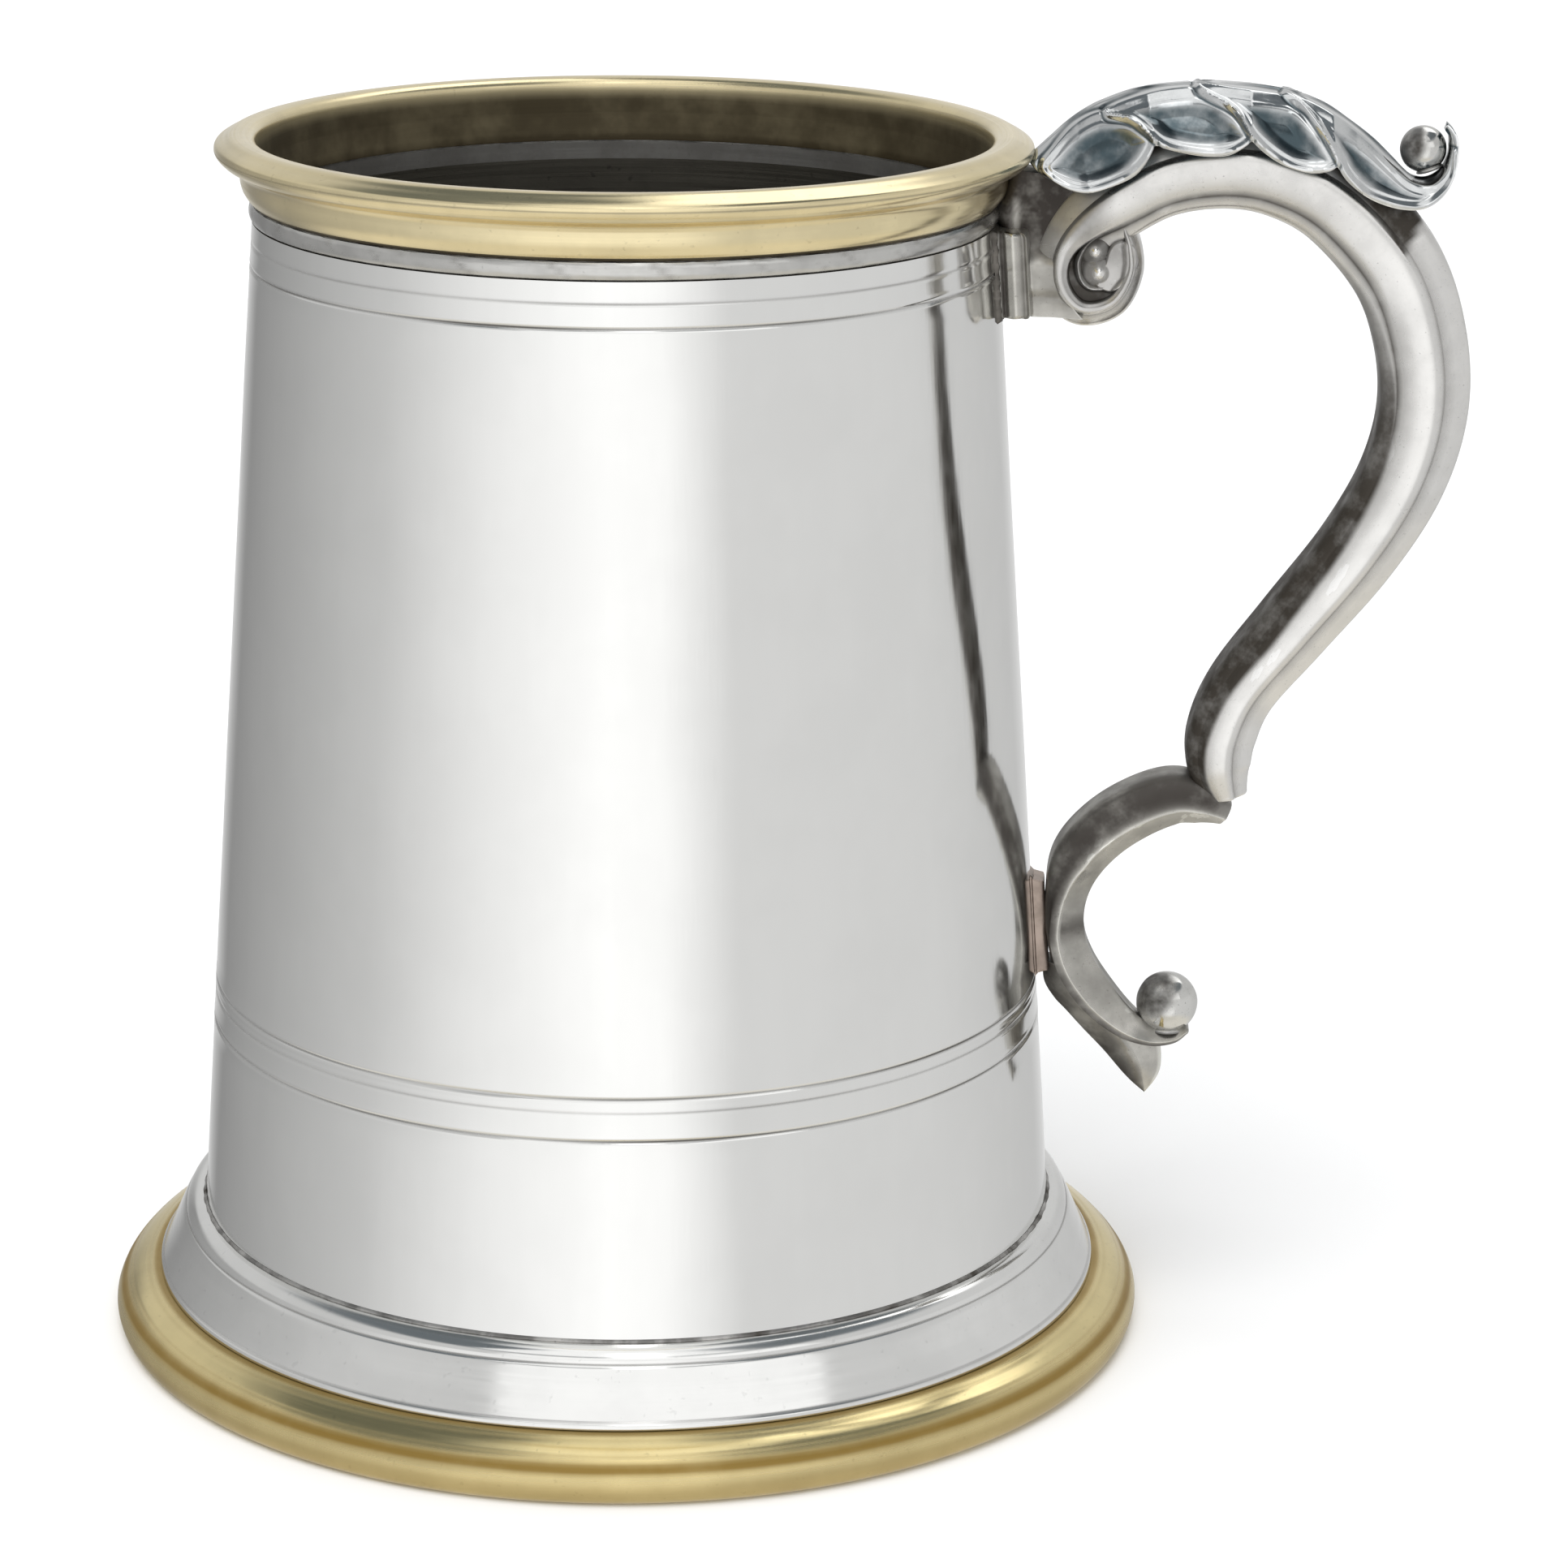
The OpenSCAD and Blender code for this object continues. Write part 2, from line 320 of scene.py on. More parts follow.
POLISHED = metal("polished_pewter", (0.82, 0.82, 0.805), 0.10, UPRIGHT, 0.0024, mottle=0.008,
                 rough_spread=0.03, clouds=0.0)
# Inside pewter: dull, and darkened further as painted shade inside the tankard
SHADED_INSIDE = metal("shaded_inside_pewter", (0.28, 0.265, 0.225), 0.42, ROUND, 0.012, mottle=0.12, mottle_scale=60.0,
               speckle=0.5)
FOOT = metal("foot_pewter", (0.82, 0.82, 0.805), 0.13, ROUND, 0.002, mottle=0.02, speckle=0.12, clouds=0.3)
CASTING = metal("cast_pewter", (0.77, 0.76, 0.74), 0.19, CAST, 0.007, mottle=0.022, mottle_scale=300.0,
                speckle=0.35, wear=0.35, clouds=0.35, tarnish_and_shade_colour=(0.045, 0.038, 0.030))
# The leaf's tarnish colour is a dark teal, which also paints a dark reflection in the middle of each hollow
BRIGHT = metal("bright_pewter", (0.82, 0.83, 0.83), 0.09, CAST, 0.006, mottle=0.03, mottle_scale=330.0,
               speckle=0.3, wear=0.45, clouds=0.4, tarnish_and_shade_colour=(0.045, 0.070, 0.082), dull=0.04)
SATIN = metal("satin_pewter", (0.76, 0.755, 0.73), 0.10, CAST, 0.014, mottle=0.07, mottle_scale=260.0,
              speckle=0.5, tarnish_and_shade_colour=(0.045, 0.04, 0.034))
AGED = metal("aged_pewter", (0.62, 0.605, 0.56), 0.20, CAST, 0.010, mottle=0.08, mottle_scale=200.0,
             speckle=0.45, wear=0.4, clouds=0.7, tarnish_and_shade_colour=(0.044, 0.037, 0.032))
NECK = metal("neck_pewter", (0.60, 0.595, 0.575), 0.20, ROUND, 0.004, mottle=0.05, mottle_scale=160.0,
             speckle=0.2, clouds=0.6)
BRASS = metal("satin_brass", (0.85, 0.735, 0.46), 0.19, ROUND, 0.003, mottle=0.03, mottle_scale=120.0,
              speckle=0.2, clouds=0.2, tarnish_and_shade_colour=(0.05, 0.037, 0.016))
# Brass of the foot ring, deeper than the rim's. Its brown tarnish colour serves its seam and cut lines, and
# also paints the floor's reflection close beside the ring
GOLDEN = metal("foot_brass", (0.82, 0.69, 0.365), 0.16, ROUND, 0.003, mottle=0.03, mottle_scale=120.0,
               speckle=0.2, clouds=0.2, tarnish_and_shade_colour=(0.28, 0.18, 0.04))
SOLDER = metal("old_solder", (0.22, 0.205, 0.185), 0.5, CAST, 0.05, mottle=0.14, mottle_scale=500.0,
               speckle=0.8)
GRAINY = metal("grainy_solder", (0.62, 0.61, 0.59), 0.34, CAST, 0.03, mottle=0.2, mottle_scale=240.0,
               speckle=0.9)
COPPERY = metal("coppery_solder", (0.43, 0.35, 0.30), 0.32, CAST, 0.02, mottle=0.10, mottle_scale=300.0,
                speckle=0.4)


# ------ body

LINES = [(116.2, 0.05), (113.8, 0.13), (38.3, 0.13), (36.9, 0.05), (34.0, 0.13)]
LINE_STEPS = (-0.62, -0.46, -0.34, -0.24, -0.16, -0.08, 0.0, 0.08, 0.16, 0.24, 0.34, 0.46, 0.62)


def hand_finish(angle, z):
    """Slow waves that hand finishing leaves in a turned surface, in mm."""
    return (0.016 * np.sin(5 * angle + 0.06 * z) + 0.010 * np.sin(11 * angle - 0.11 * z + 1.7)
            + 0.006 * np.sin(23 * angle + 0.19 * z + 0.4) + 0.008 * np.sin(0.32 * z + 2 * angle))


def line_relief(angle, z):
    """Depth of the incised lines, with a burr on each side, fading in and out as they are worn."""
    total = 0
    for height, depth in LINES:
        worn = 0.78 + 0.22 * np.sin(3 * angle + height) * np.sin(7 * angle + 2.0)
        off = z - height
        cut = -bump(off, 0.17) + 0.42 * bump(np.abs(off) - 0.40, 0.16)
        total = total + depth * worn * cut
    return total


def body():
    plain = np.arange(DRUM_FOOT, DRUM_TOP, 1.4)
    fine = [height + step for height, _ in LINES for step in LINE_STEPS]
    plain = [z for z in plain if all(abs(z - height) > 0.75 for height, _ in LINES)]
    heights = np.array(sorted([*plain, *fine, DRUM_TOP]))
    outside = np.stack([cone_r(heights), heights], -1)
    inner_heights = np.linspace(DRUM_TOP, DRUM_FOOT, 24)
    inside = np.stack([cone_r(inner_heights) - WALL, inner_heights], -1)
    outline = np.concatenate([outside, inside])
    outer_side = np.arange(len(outline)) < len(outside)

    def radial(angle, r, z):
        taper = smoothstep(DRUM_FOOT, DRUM_FOOT + 3, z) * (1 - smoothstep(DRUM_TOP - 1.5, DRUM_TOP, z))
        return np.where(outer_side, hand_finish(angle, z) * taper + line_relief(angle, z), 0)

    def tarnish_and_shade(angle, r, z):
        total = 0
        for height, depth in LINES:
            patchy = 0.75 + 0.45 * np.sin(3 * angle + height) * np.sin(5 * angle + 0.7 * height)
            total = total + bump(z - height, 0.12) * patchy * (0.9 if depth > 0.1 else 0.5)
        return np.where(outer_side, total, 0.0)

    turned("body_wall", outline, POLISHED, ["body_drum"], radial, tarnish_and_shade, sharp=50)
    wall = bpy.data.objects["body_wall"].data
    wall.materials.append(SHADED_INSIDE)
    part_way_in = 0.6
    for face in wall.polygons:
        centre = face.center / MM
        if math.hypot(centre.x, centre.y) < cone_r(centre.z) - part_way_in:
            face.material_index = 1


def floor_disc():
    edge = cone_r(DRUM_FOOT) - WALL - 0.02
    top_edge = edge - CONE_SLOPE * (FLOOR_Z - DRUM_FOOT)
    radii = np.concatenate([[0.0], np.linspace(0.4, top_edge - 1.6, 84)])
    dome = (FLOOR_Z - 0.10 + 0.06 * np.cos(radii / top_edge * math.pi)
            + 0.018 * np.sin(radii * 2 * math.pi / 1.6))
    cove = outline_from(top_edge, FLOOR_Z, [(-1.1, -0.1), (-0.6, 0.02), (-0.2, 0.25), (-0.02, 0.62)])
    under = [(edge, DRUM_FOOT), (edge * 0.66, DRUM_FOOT), (edge * 0.33, DRUM_FOOT), (0.0, DRUM_FOOT)]
    outline = np.concatenate([np.stack([radii, dome], -1), cove, under])
    turned("inside_floor", outline, SHADED_INSIDE, ["base_plate"], weld=True,
           tarnish_and_shade=lambda angle, r, z: 0.6 * smoothstep(top_edge - 2.5, top_edge, r))


def neck_bead():
    outside = outline_from(0, DRUM_TOP, [
        (37.62, 0), (37.98, 0.22), (38.16, 0.62), (38.2, 1.05), (38.12, 1.5)])
    outline = spline([*outside, (37.94, NECK_TOP)], 6)
    outline = np.concatenate([[[BORE_TOP, DRUM_TOP]], outline, [[BORE_TOP, NECK_TOP]]])

    def radial(angle, r, z):
        lumps = 0.018 * np.sin(41 * angle + 3 * z) * np.sin(17 * angle) + 0.012 * np.sin(89 * angle + 5 * z)
        return np.where(r > 37, lumps, 0)

    def tarnish_and_shade(angle, r, z):
        foot = 0.9 * bump(z - DRUM_TOP, 0.16)
        streak = 0.2 * smoothstep(0.55, 0.9, np.sin(61 * angle + 2.2 * z) * np.sin(13 * angle + 1.0))
        return np.where(r > 37, foot + streak, 0.6)

    turned("neck_bead", outline, NECK, ["neck_ring"], radial, tarnish_and_shade, sharp=60)


# ------ rim

def rim_band():
    """Brass mount: an overhanging rounded lip over a hollow, on a rounded band."""
    band = spline(outline_from(0, JOINT_Z, [
        (37.96, 0.02), (38.16, 0.26), (38.50, 0.70), (38.80, 1.25), (38.98, 1.9), (39.05, 2.5), (39.16, 3.05),
        (39.5, 3.5), (40.08, 3.8), (40.7, 4.06), (41.2, 4.5)]), 6)
    lip_side = outline_from(0, JOINT_Z, [
        (41.2, 4.5), (41.48, 4.9), (41.55, 5.3), (41.42, 5.68), (41.02, 5.98)])
    lip_top = outline_from(0, RIM_TOP, [
        (40.45, -0.42), (39.9, -0.12), (39.3, 0), (38.6, -0.03), (38.0, -0.15), (37.55, -0.45), (37.35, -0.9),
        (37.25, -2.0), (37.1, -3.8)])
    lip = spline(lip_side + lip_top, 6)
    in_bore = BORE_TOP + 0.02
    bore = outline_from(0, JOINT_Z, [(36.9, 1.8), (36.8, 0.9), (in_bore, 0.2), (in_bore, 0.02)])
    outline = np.concatenate([band, lip[1:], bore])

    def radial(angle, r, z):
        return 0.5 * hand_finish(angle, z) * smoothstep(JOINT_Z + 0.4, JOINT_Z + 1.5, z)

    def tarnish_and_shade(angle, r, z):
        seam = 0.42 * bump(z - JOINT_Z, 0.14)
        hollow = 0.05 * bump(z - JOINT_Z - 3.4, 0.5) * (r > 38.5)
        # Painted shade: darker inside the lip and down the bore
        inside = 0.95 * (1 - smoothstep(RIM_TOP - 2.4, RIM_TOP - 0.1, z)) * (r < 38.2)
        # Painted dark reflection: a thin dark line round the widest part of the lip, where there is no crease
        crease = 0.55 * bump(z - JOINT_Z - 5.15, 0.10) * (r > 41)
        return seam + hollow + inside + crease

    turned("brass_rim", outline, BRASS, ["rim_mount"], radial, tarnish_and_shade, sharp=60)


def rim_seam():
    outline = outline_from(0, JOINT_Z, [(37.92, -0.07), (37.84, 0.01), (BORE_TOP, 0.01)])
    outline = refined(np.array([(BORE_TOP, NECK_TOP), (37.84, NECK_TOP), *outline]), 0.5)

    def radial(angle, r, z):
        grain = 0.05 * np.sin(97 * angle) * np.sin(31 * angle + 1) + 0.03 * np.sin(151 * angle)
        return np.where(r > 37.3, grain, 0)

    turned("rim_seam", outline, GRAINY, ["rim_solder"], radial, sharp=60)


# ------ foot

def foot_skirt():
    bead = spline([(cone_r(FOOT_TOP) + 0.02, FOOT_TOP), (46.05, 13.36), (46.62, 13.16), (47.08, 12.78),
                   (47.36, 12.36), (47.44, 11.98)], 6)
    flare = spline([(47.52, 11.88), (47.72, 11.68), (47.98, 11.2), (48.5, 10.05), (49.02, 8.9),
                    (49.52, 7.85), (49.98, 6.92)], 8)
    step = spline([(50.12, 6.78), (50.26, 6.62), (50.32, 6.4), (50.32, FOOT_JOINT + 0.12)], 4)
    under = [(48.9, FOOT_JOINT + 0.1), (47.3, 9.6), (46.4, DRUM_FOOT - 1.2), (42.6, DRUM_FOOT - 1.2),
             (42.6, DRUM_FOOT), (cone_r(DRUM_FOOT) + 0.02, DRUM_FOOT)]
    outline = np.concatenate([bead, flare, step, under])

    def radial(angle, r, z):
        return 0.8 * hand_finish(angle, z) * bump(z - 9.4, 2.2)

    def tarnish_and_shade(angle, r, z):
        corner = 0.9 * bump(z - 11.92, 0.07) * (r > 47)
        step_line = 0.5 * bump(z - 6.85, 0.10) * (r > 49.5)
        return corner + step_line + 0.7 * (r < 46) * (z < 12.6)

    turned("foot_skirt_spun", outline, FOOT, ["foot_skirt"], radial, tarnish_and_shade, sharp=55)


def foot_seam():
    at = cone_r(FOOT_TOP)
    outline = outline_from(at, FOOT_TOP, [
        (0.02, 0), (0.16, -0.02), (0.26, 0), (0.27, 0.06), (0.19, 0.15), (0.10, 0.23)])
    outline = np.array([*outline, (cone_r(FOOT_TOP + 0.3) + 0.02, FOOT_TOP + 0.3)])

    def radial(angle, r, z):
        grain = 0.05 * np.sin(61 * angle + z) * np.sin(29 * angle + 1) + 0.03 * np.sin(97 * angle + 9 * z)
        return np.where(r > at + 0.1, grain, 0)

    def tarnish_and_shade(angle, r, z):
        waves = np.sin(2 * angle + 2.2) + 0.6 * np.sin(9 * angle) * np.sin(31 * angle + 1)
        runs = smoothstep(-0.25, 0.7, waves)
        grains = 0.5 + 0.5 * np.sin(73 * angle + 1) * np.sin(41 * angle)
        return 0.15 + 0.8 * runs * grains

    turned("foot_seam", outline, GRAINY, ["foot_solder"], radial, tarnish_and_shade, sharp=70)


def foot_ring():
    r = FOOT_R
    over = outline_from(r, FOOT_JOINT, [
        (-4.55, 0), (-4.05, -0.08), (-3.2, -0.42), (-2.4, -0.82), (-1.7, -1.28), (-1.05, -1.9), (-0.5, -2.6),
        (-0.15, -3.3), (0, -3.95), (-0.08, -4.7), (-0.36, -5.35)])
    edge = outline_from(r, 0, [(-0.85, 0.18), (-1.35, 0)])
    inside = outline_from(r, 0, [
        (-4.0, 0), (-4.3, 0.1), (-4.6, 0.6), (-4.9, 1.6), (-5.4, 3.2), (-5.9, 4.1), (-7.5, 4.75)])
    seat = outline_from(r, FOOT_JOINT, [(-7.6, -0.1), (-7.4, 0), (-5.6, 0)])
    outline = refined(np.concatenate([spline(over + edge, 7), inside, seat]), 0.6)
    cuts = [(5.66, 0.03), (4.74, 0.03), (4.10, 0.015), (3.5, 0.015)]

    def radial(angle, r_here, z):
        total = 0.6 * hand_finish(angle, z) * smoothstep(0.2, 1.5, z)
        for height, depth in cuts:
            total = total - depth * bump(z - height, 0.10)
        return np.where(r_here > r - 4.4, total, 0)

    def tarnish_and_shade(angle, r_here, z):
        seam = 0.9 * bump(z - FOOT_JOINT, 0.12) * (r_here > r - 5)
        lines = 0
        for height, depth in cuts:
            lines = lines + depth * 6 * bump(z - height, 0.11)
        # Painted reflection: a dark band under the highlight and a darker lower part stand for the floor
        # reflected close beside the ring
        band = 1.0 * bump(z - 3.75, 0.62) + 0.55 * (1 - smoothstep(1.8, 3.4, z))
        return (seam + lines + band) * (r_here > r - 4.8) + 0.8 * (r_here <= r - 4.8)

    turned("brass_foot_ring", outline, GOLDEN, ["foot_ring"], radial, tarnish_and_shade, sharp=60)


# ------ handle

# Centre lines of the cast bars, (x, z, width, depth). They are close to the CAD source's, and the volute's
# inner end runs further round.
SCROLL = np.array([
    (63.0, 58.4, 4.6, 5.9), (62.2, 61.5, 6.6, 7.7), (62.4, 65.0, 7.2, 8.3), (64.4, 69.9, 7.2, 8.6),
    (69.5, 76.6, 7.7, 9.2), (75.6, 84.6, 8.2, 9.6), (79.9, 92.4, 8.7, 9.6), (81.7, 100.0, 9.1, 9.6),
    (81.0, 107.5, 9.4, 9.6), (78.2, 114.6, 9.6, 9.6), (72.4, 120.9, 9.4, 9.6), (66.6, 123.9, 9.2, 9.6),
    (60.8, 124.7, 9.0, 9.6), (54.4, 123.4, 8.4, 9.6), (48.9, 120.0, 7.8, 9.2), (45.4, 116.4, 6.4, 8.6),
    (44.8, 112.9, 5.6, 8.3), (46.6, 110.4, 4.8, 7.9), (49.5, 110.9, 4.2, 7.7), (51.2, 113.6, 3.3, 7.5),
    (51.2, 116.2, 2.8, 7.3), (50.7, 118.0, 1.8, 7.0)])
VOLUTE_START = 13.4
LOWER = np.array([
    (62.9, 56.4, 2.8, 5.6), (60.6, 57.4, 4.6, 6.3), (57.6, 57.8, 5.6, 6.7), (53.9, 56.4, 5.9, 6.9),
    (50.3, 53.9, 5.9, 6.9), (47.7, 50.7, 5.6, 6.7), (46.6, 46.8, 4.4, 6.3), (46.6, 42.8, 4.0, 6.0),
    (47.7, 39.2, 4.2, 5.8), (50.1, 35.7, 4.0, 5.6), (53.0, 32.9, 3.2, 5.2), (55.8, 31.5, 2.2, 4.8),
    (58.2, 31.4, 1.5, 4.2), (59.6, 32.1, 0.9, 3.5)])


def half_section(keys, steps):
    """Run of (across, deep, tarnish) through key points; a key whose last value is 1 is a crease."""
    out = []
    run = [keys[0][:3]]
    for key in keys[1:]:
        run.append(key[:3])
        if key[3]:
            out.append(spline(run, steps)[:-1])
            run = [key[:3]]
    out.append(spline(run, steps))
    return np.concatenate(out)


def mirrored(half):
    """Whole closed section from its half with negative depth, which starts and ends on the middle plane."""
    other = half[-2:0:-1] * np.array([1, -1, 1])
    return np.concatenate([half, other])


def sweep(points, section_at, steps, cap=0.45):
    """Vertices and tarnish of a bar along control points, with rounded ends.

    section_at(t) gives its section at t spans.
    """
    rows = spline(points, steps)
    tangent = np.gradient(rows[:, :2], axis=0)
    tangent /= np.linalg.norm(tangent, axis=1)[:, None]
    stations = [(i / steps, rows[i], tangent[i], 0.0, 1.0) for i in range(len(rows))]
    dome = [(math.sin(a), math.cos(a)) for a in np.linspace(0, math.pi / 2, 7)[1:]]
    first, last = stations[0], stations[-1]
    head = [(first[0], first[1], first[2], -out * cap, size) for out, size in dome[::-1]]
    tail = [(last[0], last[1], last[2], out * cap, size) for out, size in dome]
    verts, aged_and_shaded = [], []
    for t, row, way, push, size in [*head, *stations, *tail]:
        section = section_at(t)
        half_x, half_y = row[2] / 2, row[3] / 2
        inset = 1 - cap * (1 - size) / half_x
        inset_deep = 1 - cap * (1 - size) / half_y
        if size < 0.02:
            inset *= 0.9
            inset_deep *= 0.9
        normal = np.array([-way[1], way[0]])
        centre = row[:2] + way * push
        across = section[:, 0] * row[2] * inset
        verts.append(np.stack([centre[0] + normal[0] * across, section[:, 1] * row[3] * inset_deep,
                               centre[1] + normal[1] * across], -1))
        aged_and_shaded.append(section[:, 2])
    return np.array(verts), np.array(aged_and_shaded)


def closed_ends(verts):
    """Faces of a swept bar: its sides and a fan over each end, with the two centre points added."""
    rows, columns = verts.shape[:2]
    flat = verts.reshape(-1, 3)
    faces = grid_faces(rows, columns, False, True)
    centres = np.array([verts[0].mean(0), verts[-1].mean(0)])
    start, end = len(flat), len(flat) + 1
    last = (rows - 1) * columns
    for c in range(columns):
        n = (c + 1) % columns
        faces.append([start, n, c])
        faces.append([end, last + c, last + n])
    return np.concatenate([flat, centres]), faces


def main_section(t):
    """Section of the main scroll: wide outer bevel, round side, narrow inner bevel, hollow in the volute."""
    v = float(smoothstep(VOLUTE_START, VOLUTE_START + 2.4, t))
    inner_crease = 0.32 - 0.22 * v
    floor_deep = 0.392 - 0.092 * v
    seam = 0.6 + 0.25 * v
    keys = [
        (-0.50, 0.0, 0, 0), (-0.50, -0.15, 0, 0), (-0.49, -0.235, 0, 0), (-0.45, -0.285, 0, 0),
        (-0.33, -0.345, 0, 0), (-0.205, -0.398, 0.35, 1),
        (-0.165, -0.462, 0.1, 0), (-0.12, -0.488, 0.1 * v, 0), (-0.06 - 0.02 * v, -0.50, 0.28 * v, 0),
        (0.02 - 0.05 * v, -0.497, 0.34 * v, 0), (0.12 - 0.12 * v, -0.48, 0.42 * v, 0),
        (0.22 - 0.16 * v, -0.452, 0.08 + 0.4 * v, 0),
        (inner_crease - 0.035, -0.415, 0.5 + 0.2 * v, 0), (inner_crease, -floor_deep, seam + 0.25, 1),
        (inner_crease + 0.045, -floor_deep + 0.014, 0.35 + 0.45 * v, 0),
        (0.44, -0.335 + 0.05 * v, 0.95 * v, 0), (0.485, -0.27 + 0.05 * v, 0.95 * v, 0),
        (0.50, -0.17, 0.95 * v, 0), (0.50, 0.0, 0.6 * v, 0),
    ]
    return mirrored(half_section(keys, 4))


def distance_to(line, x, z):
    """Distance of each point to a polyline."""
    best = np.full(np.shape(x), 1e9)
    for a, b in zip(line[:-1], line[1:]):
        d = b - a
        t = np.clip(((x - a[0]) * d[0] + (z - a[1]) * d[1]) / (d @ d), 0, 1)
        best = np.minimum(best, np.hypot(x - a[0] - t * d[0], z - a[1] - t * d[1]))
    return best


def inside_polygon(polygon, x, z):
    """True where a point is inside the closed polygon."""
    found = np.zeros(np.shape(x), bool)
    for a, b in zip(polygon, np.roll(polygon, -1, axis=0)):
        crosses = (a[1] > z) != (b[1] > z)
        slope = (b[0] - a[0]) / (b[1] - a[1]) if b[1] != a[1] else 0.0
        found ^= crosses & (x < a[0] + slope * (z - a[1]))
    return found


HORN_SHADE = np.array([
    (70.0, 125.6), (82.2, 122.4), (81.0, 119.8), (80.0, 118.0), (78.7, 115.6), (77.0, 118.2), (75.2, 120.8)])


def main_scroll():
    verts, aged_and_shaded = sweep(SCROLL, main_section, 14)
    x, z = verts[..., 0], verts[..., 2]
    # Painted shade under the leaf, a painted shadow under its horn, painted shade by the leaf's root, and
    # painted shade on the hand side, which faces the body, towards the tail
    across = main_section(0)[:, 0][None, :]
    under_leaf_shade = smoothstep(121.0, 123.5, z) * (1 - smoothstep(3.2, 3.9, np.abs(verts[..., 1])))
    starts = np.interp(z, [58, 66, 75, 90, 100, 112, 118], [0.18, 0.12, 0.08, 0.20, 0.25, 0.34, 0.42])
    amount = np.interp(z, [58, 66, 90, 100, 118], [0.97, 0.98, 0.96, 0.9, 0.3])
    hand_side_shade = amount * smoothstep(0, 1, (across - starts) / 0.11) * (x > 55)
    soft_side_shade = 0.26 * smoothstep(0.04, 0.20, across) * smoothstep(114.0, 108.0, z)
    reach = distance_to(np.concatenate([HORN_SHADE, HORN_SHADE[:1]]), x, z)
    reach = np.where(inside_polygon(HORN_SHADE, x, z), reach, -reach)
    horn_shadow = 0.97 * smoothstep(-0.5, 0.5, reach) * (across < -0.15)
    root = 0.55 * (1 - smoothstep(47.0, 51.0, x)) * smoothstep(115.0, 118.0, z) * (across < 0.2)
    arch = 0.13 * smoothstep(115.0, 120.0, z)
    aged_and_shaded = np.max([aged_and_shaded, under_leaf_shade, hand_side_shade, soft_side_shade, horn_shadow, root, arch], axis=0)
    flat, faces = closed_ends(verts)
    add_piece("main_scroll", flat, faces, CASTING, ["handle_scroll"],
              np.append(aged_and_shaded.ravel(), [0, 0]), sharp=32)


def lower_section(t):
    """Section of the lower scroll: a full dark side up to a crease, and a plain bevel on the hollow side."""
    crease = float(np.interp(t, [0, 2, 5, 6, 7, 9, 13], [0.10, 0.16, 0.12, -0.05, -0.20, -0.22, -0.1]))
    keys = [
        (-0.50, 0.0, 0.6, 0), (-0.50, -0.22, 0.65, 0), (-0.47, -0.33, 0.75, 0), (-0.36, -0.43, 0.84, 0),
        (crease - 0.22, -0.485, 0.86, 0), (crease - 0.08, -0.492, 0.6, 0), (crease - 0.02, -0.50, 0.0, 0),
        (crease, -0.50, 0.0, 1),
        (crease + 0.03, -0.488, 0.12, 0), (0.5 * crease + 0.24, -0.36, 0.28, 0), (0.47, -0.235, 0.32, 0),
        (0.50, -0.17, 0.4, 0), (0.50, 0.0, 0.5, 0),
    ]
    return mirrored(half_section(keys, 4))


SPUR_LEFT = [
    (44.3, 39.6), (44.5, 37.2), (45.6, 35.3), (46.9, 33.9), (48.9, 31.7), (51.0, 29.5), (53.3, 26.8),
    (55.5, 24.65)]
SPUR_CREASE = [
    (46.4, 39.6), (47.3, 37.6), (48.6, 35.7), (50.0, 34.2), (51.6, 32.6), (53.2, 30.7), (54.7, 28.0),
    (55.52, 24.8)]
SPUR_RIGHT = [
    (49.5, 38.0), (51.0, 36.4), (52.6, 34.6), (54.6, 33.0), (56.4, 31.4), (57.1, 29.8), (57.0, 27.2),
    (55.6, 24.75)]
SPUR_DEPTH = [2.85, 2.8, 2.75, 2.7, 2.5, 2.1, 1.4, 0.25]


def spur():
    """Pointed spur under the lower scroll, with a crease down each side."""
    left, crease, right = (spline(p, 8) for p in (SPUR_LEFT, SPUR_CREASE, SPUR_RIGHT))
    deep = spline(np.array(SPUR_DEPTH)[:, None], 8)[:, 0]
    rows = []
    for left_at, crease_at, right_at, half in zip(left, crease, right, deep):
        thin = min(0.55, 0.6 * half)
        run = []
        for k in range(7):
            t = k / 6
            p = left_at + (crease_at - left_at) * t
            run.append((p[0], -(thin + (half - thin) * (1 - (1 - t) ** 1.6)), p[1], 0.45 * (1 - t) + 0.45))
        for k in range(1, 7):
            t = k / 6
            p = crease_at + (right_at - crease_at) * t
            run.append((p[0], -(thin + (half - thin) * (1 - t) ** 1.15), p[1], 0.0))
        rows.append(run + [(x, -y, z, dark) for x, y, z, dark in run[::-1]])
    grid = np.array(rows)
    verts, faces = closed_ends(grid[..., :3])
    return verts, faces, np.append(grid[..., 3].ravel(), [0, 0])


def join(parts):
    """One vertex, face and tarnish list out of several closed shells."""
    verts, faces, aged_and_shaded, base = [], [], [], 0
    for v, f, a in parts:
        verts.append(v)
        aged_and_shaded.append(a)
        faces.extend([[i + base for i in face] for face in f])
        base += len(v)
    return np.concatenate(verts), faces, np.concatenate(aged_and_shaded)


def lower_scroll():
    verts, aged_and_shaded = sweep(LOWER, lower_section, 12, cap=0.35)
    bevel = (lower_section(6)[:, 0] > 0.0)[None, :]
    aged_and_shaded = np.maximum(aged_and_shaded, 0.7 * bump(verts[..., 2] - 43.6, 1.9) * bevel * (verts[..., 0] < 50))
    flat, faces = closed_ends(verts)
    flat, faces, aged_and_shaded = join([(flat, faces, np.append(aged_and_shaded.ravel(), [0, 0])), spur()])
    add_piece("lower_scroll_cast", flat, faces, AGED, ["lower_scroll"], aged_and_shaded, sharp=32)


# ------ volute eye

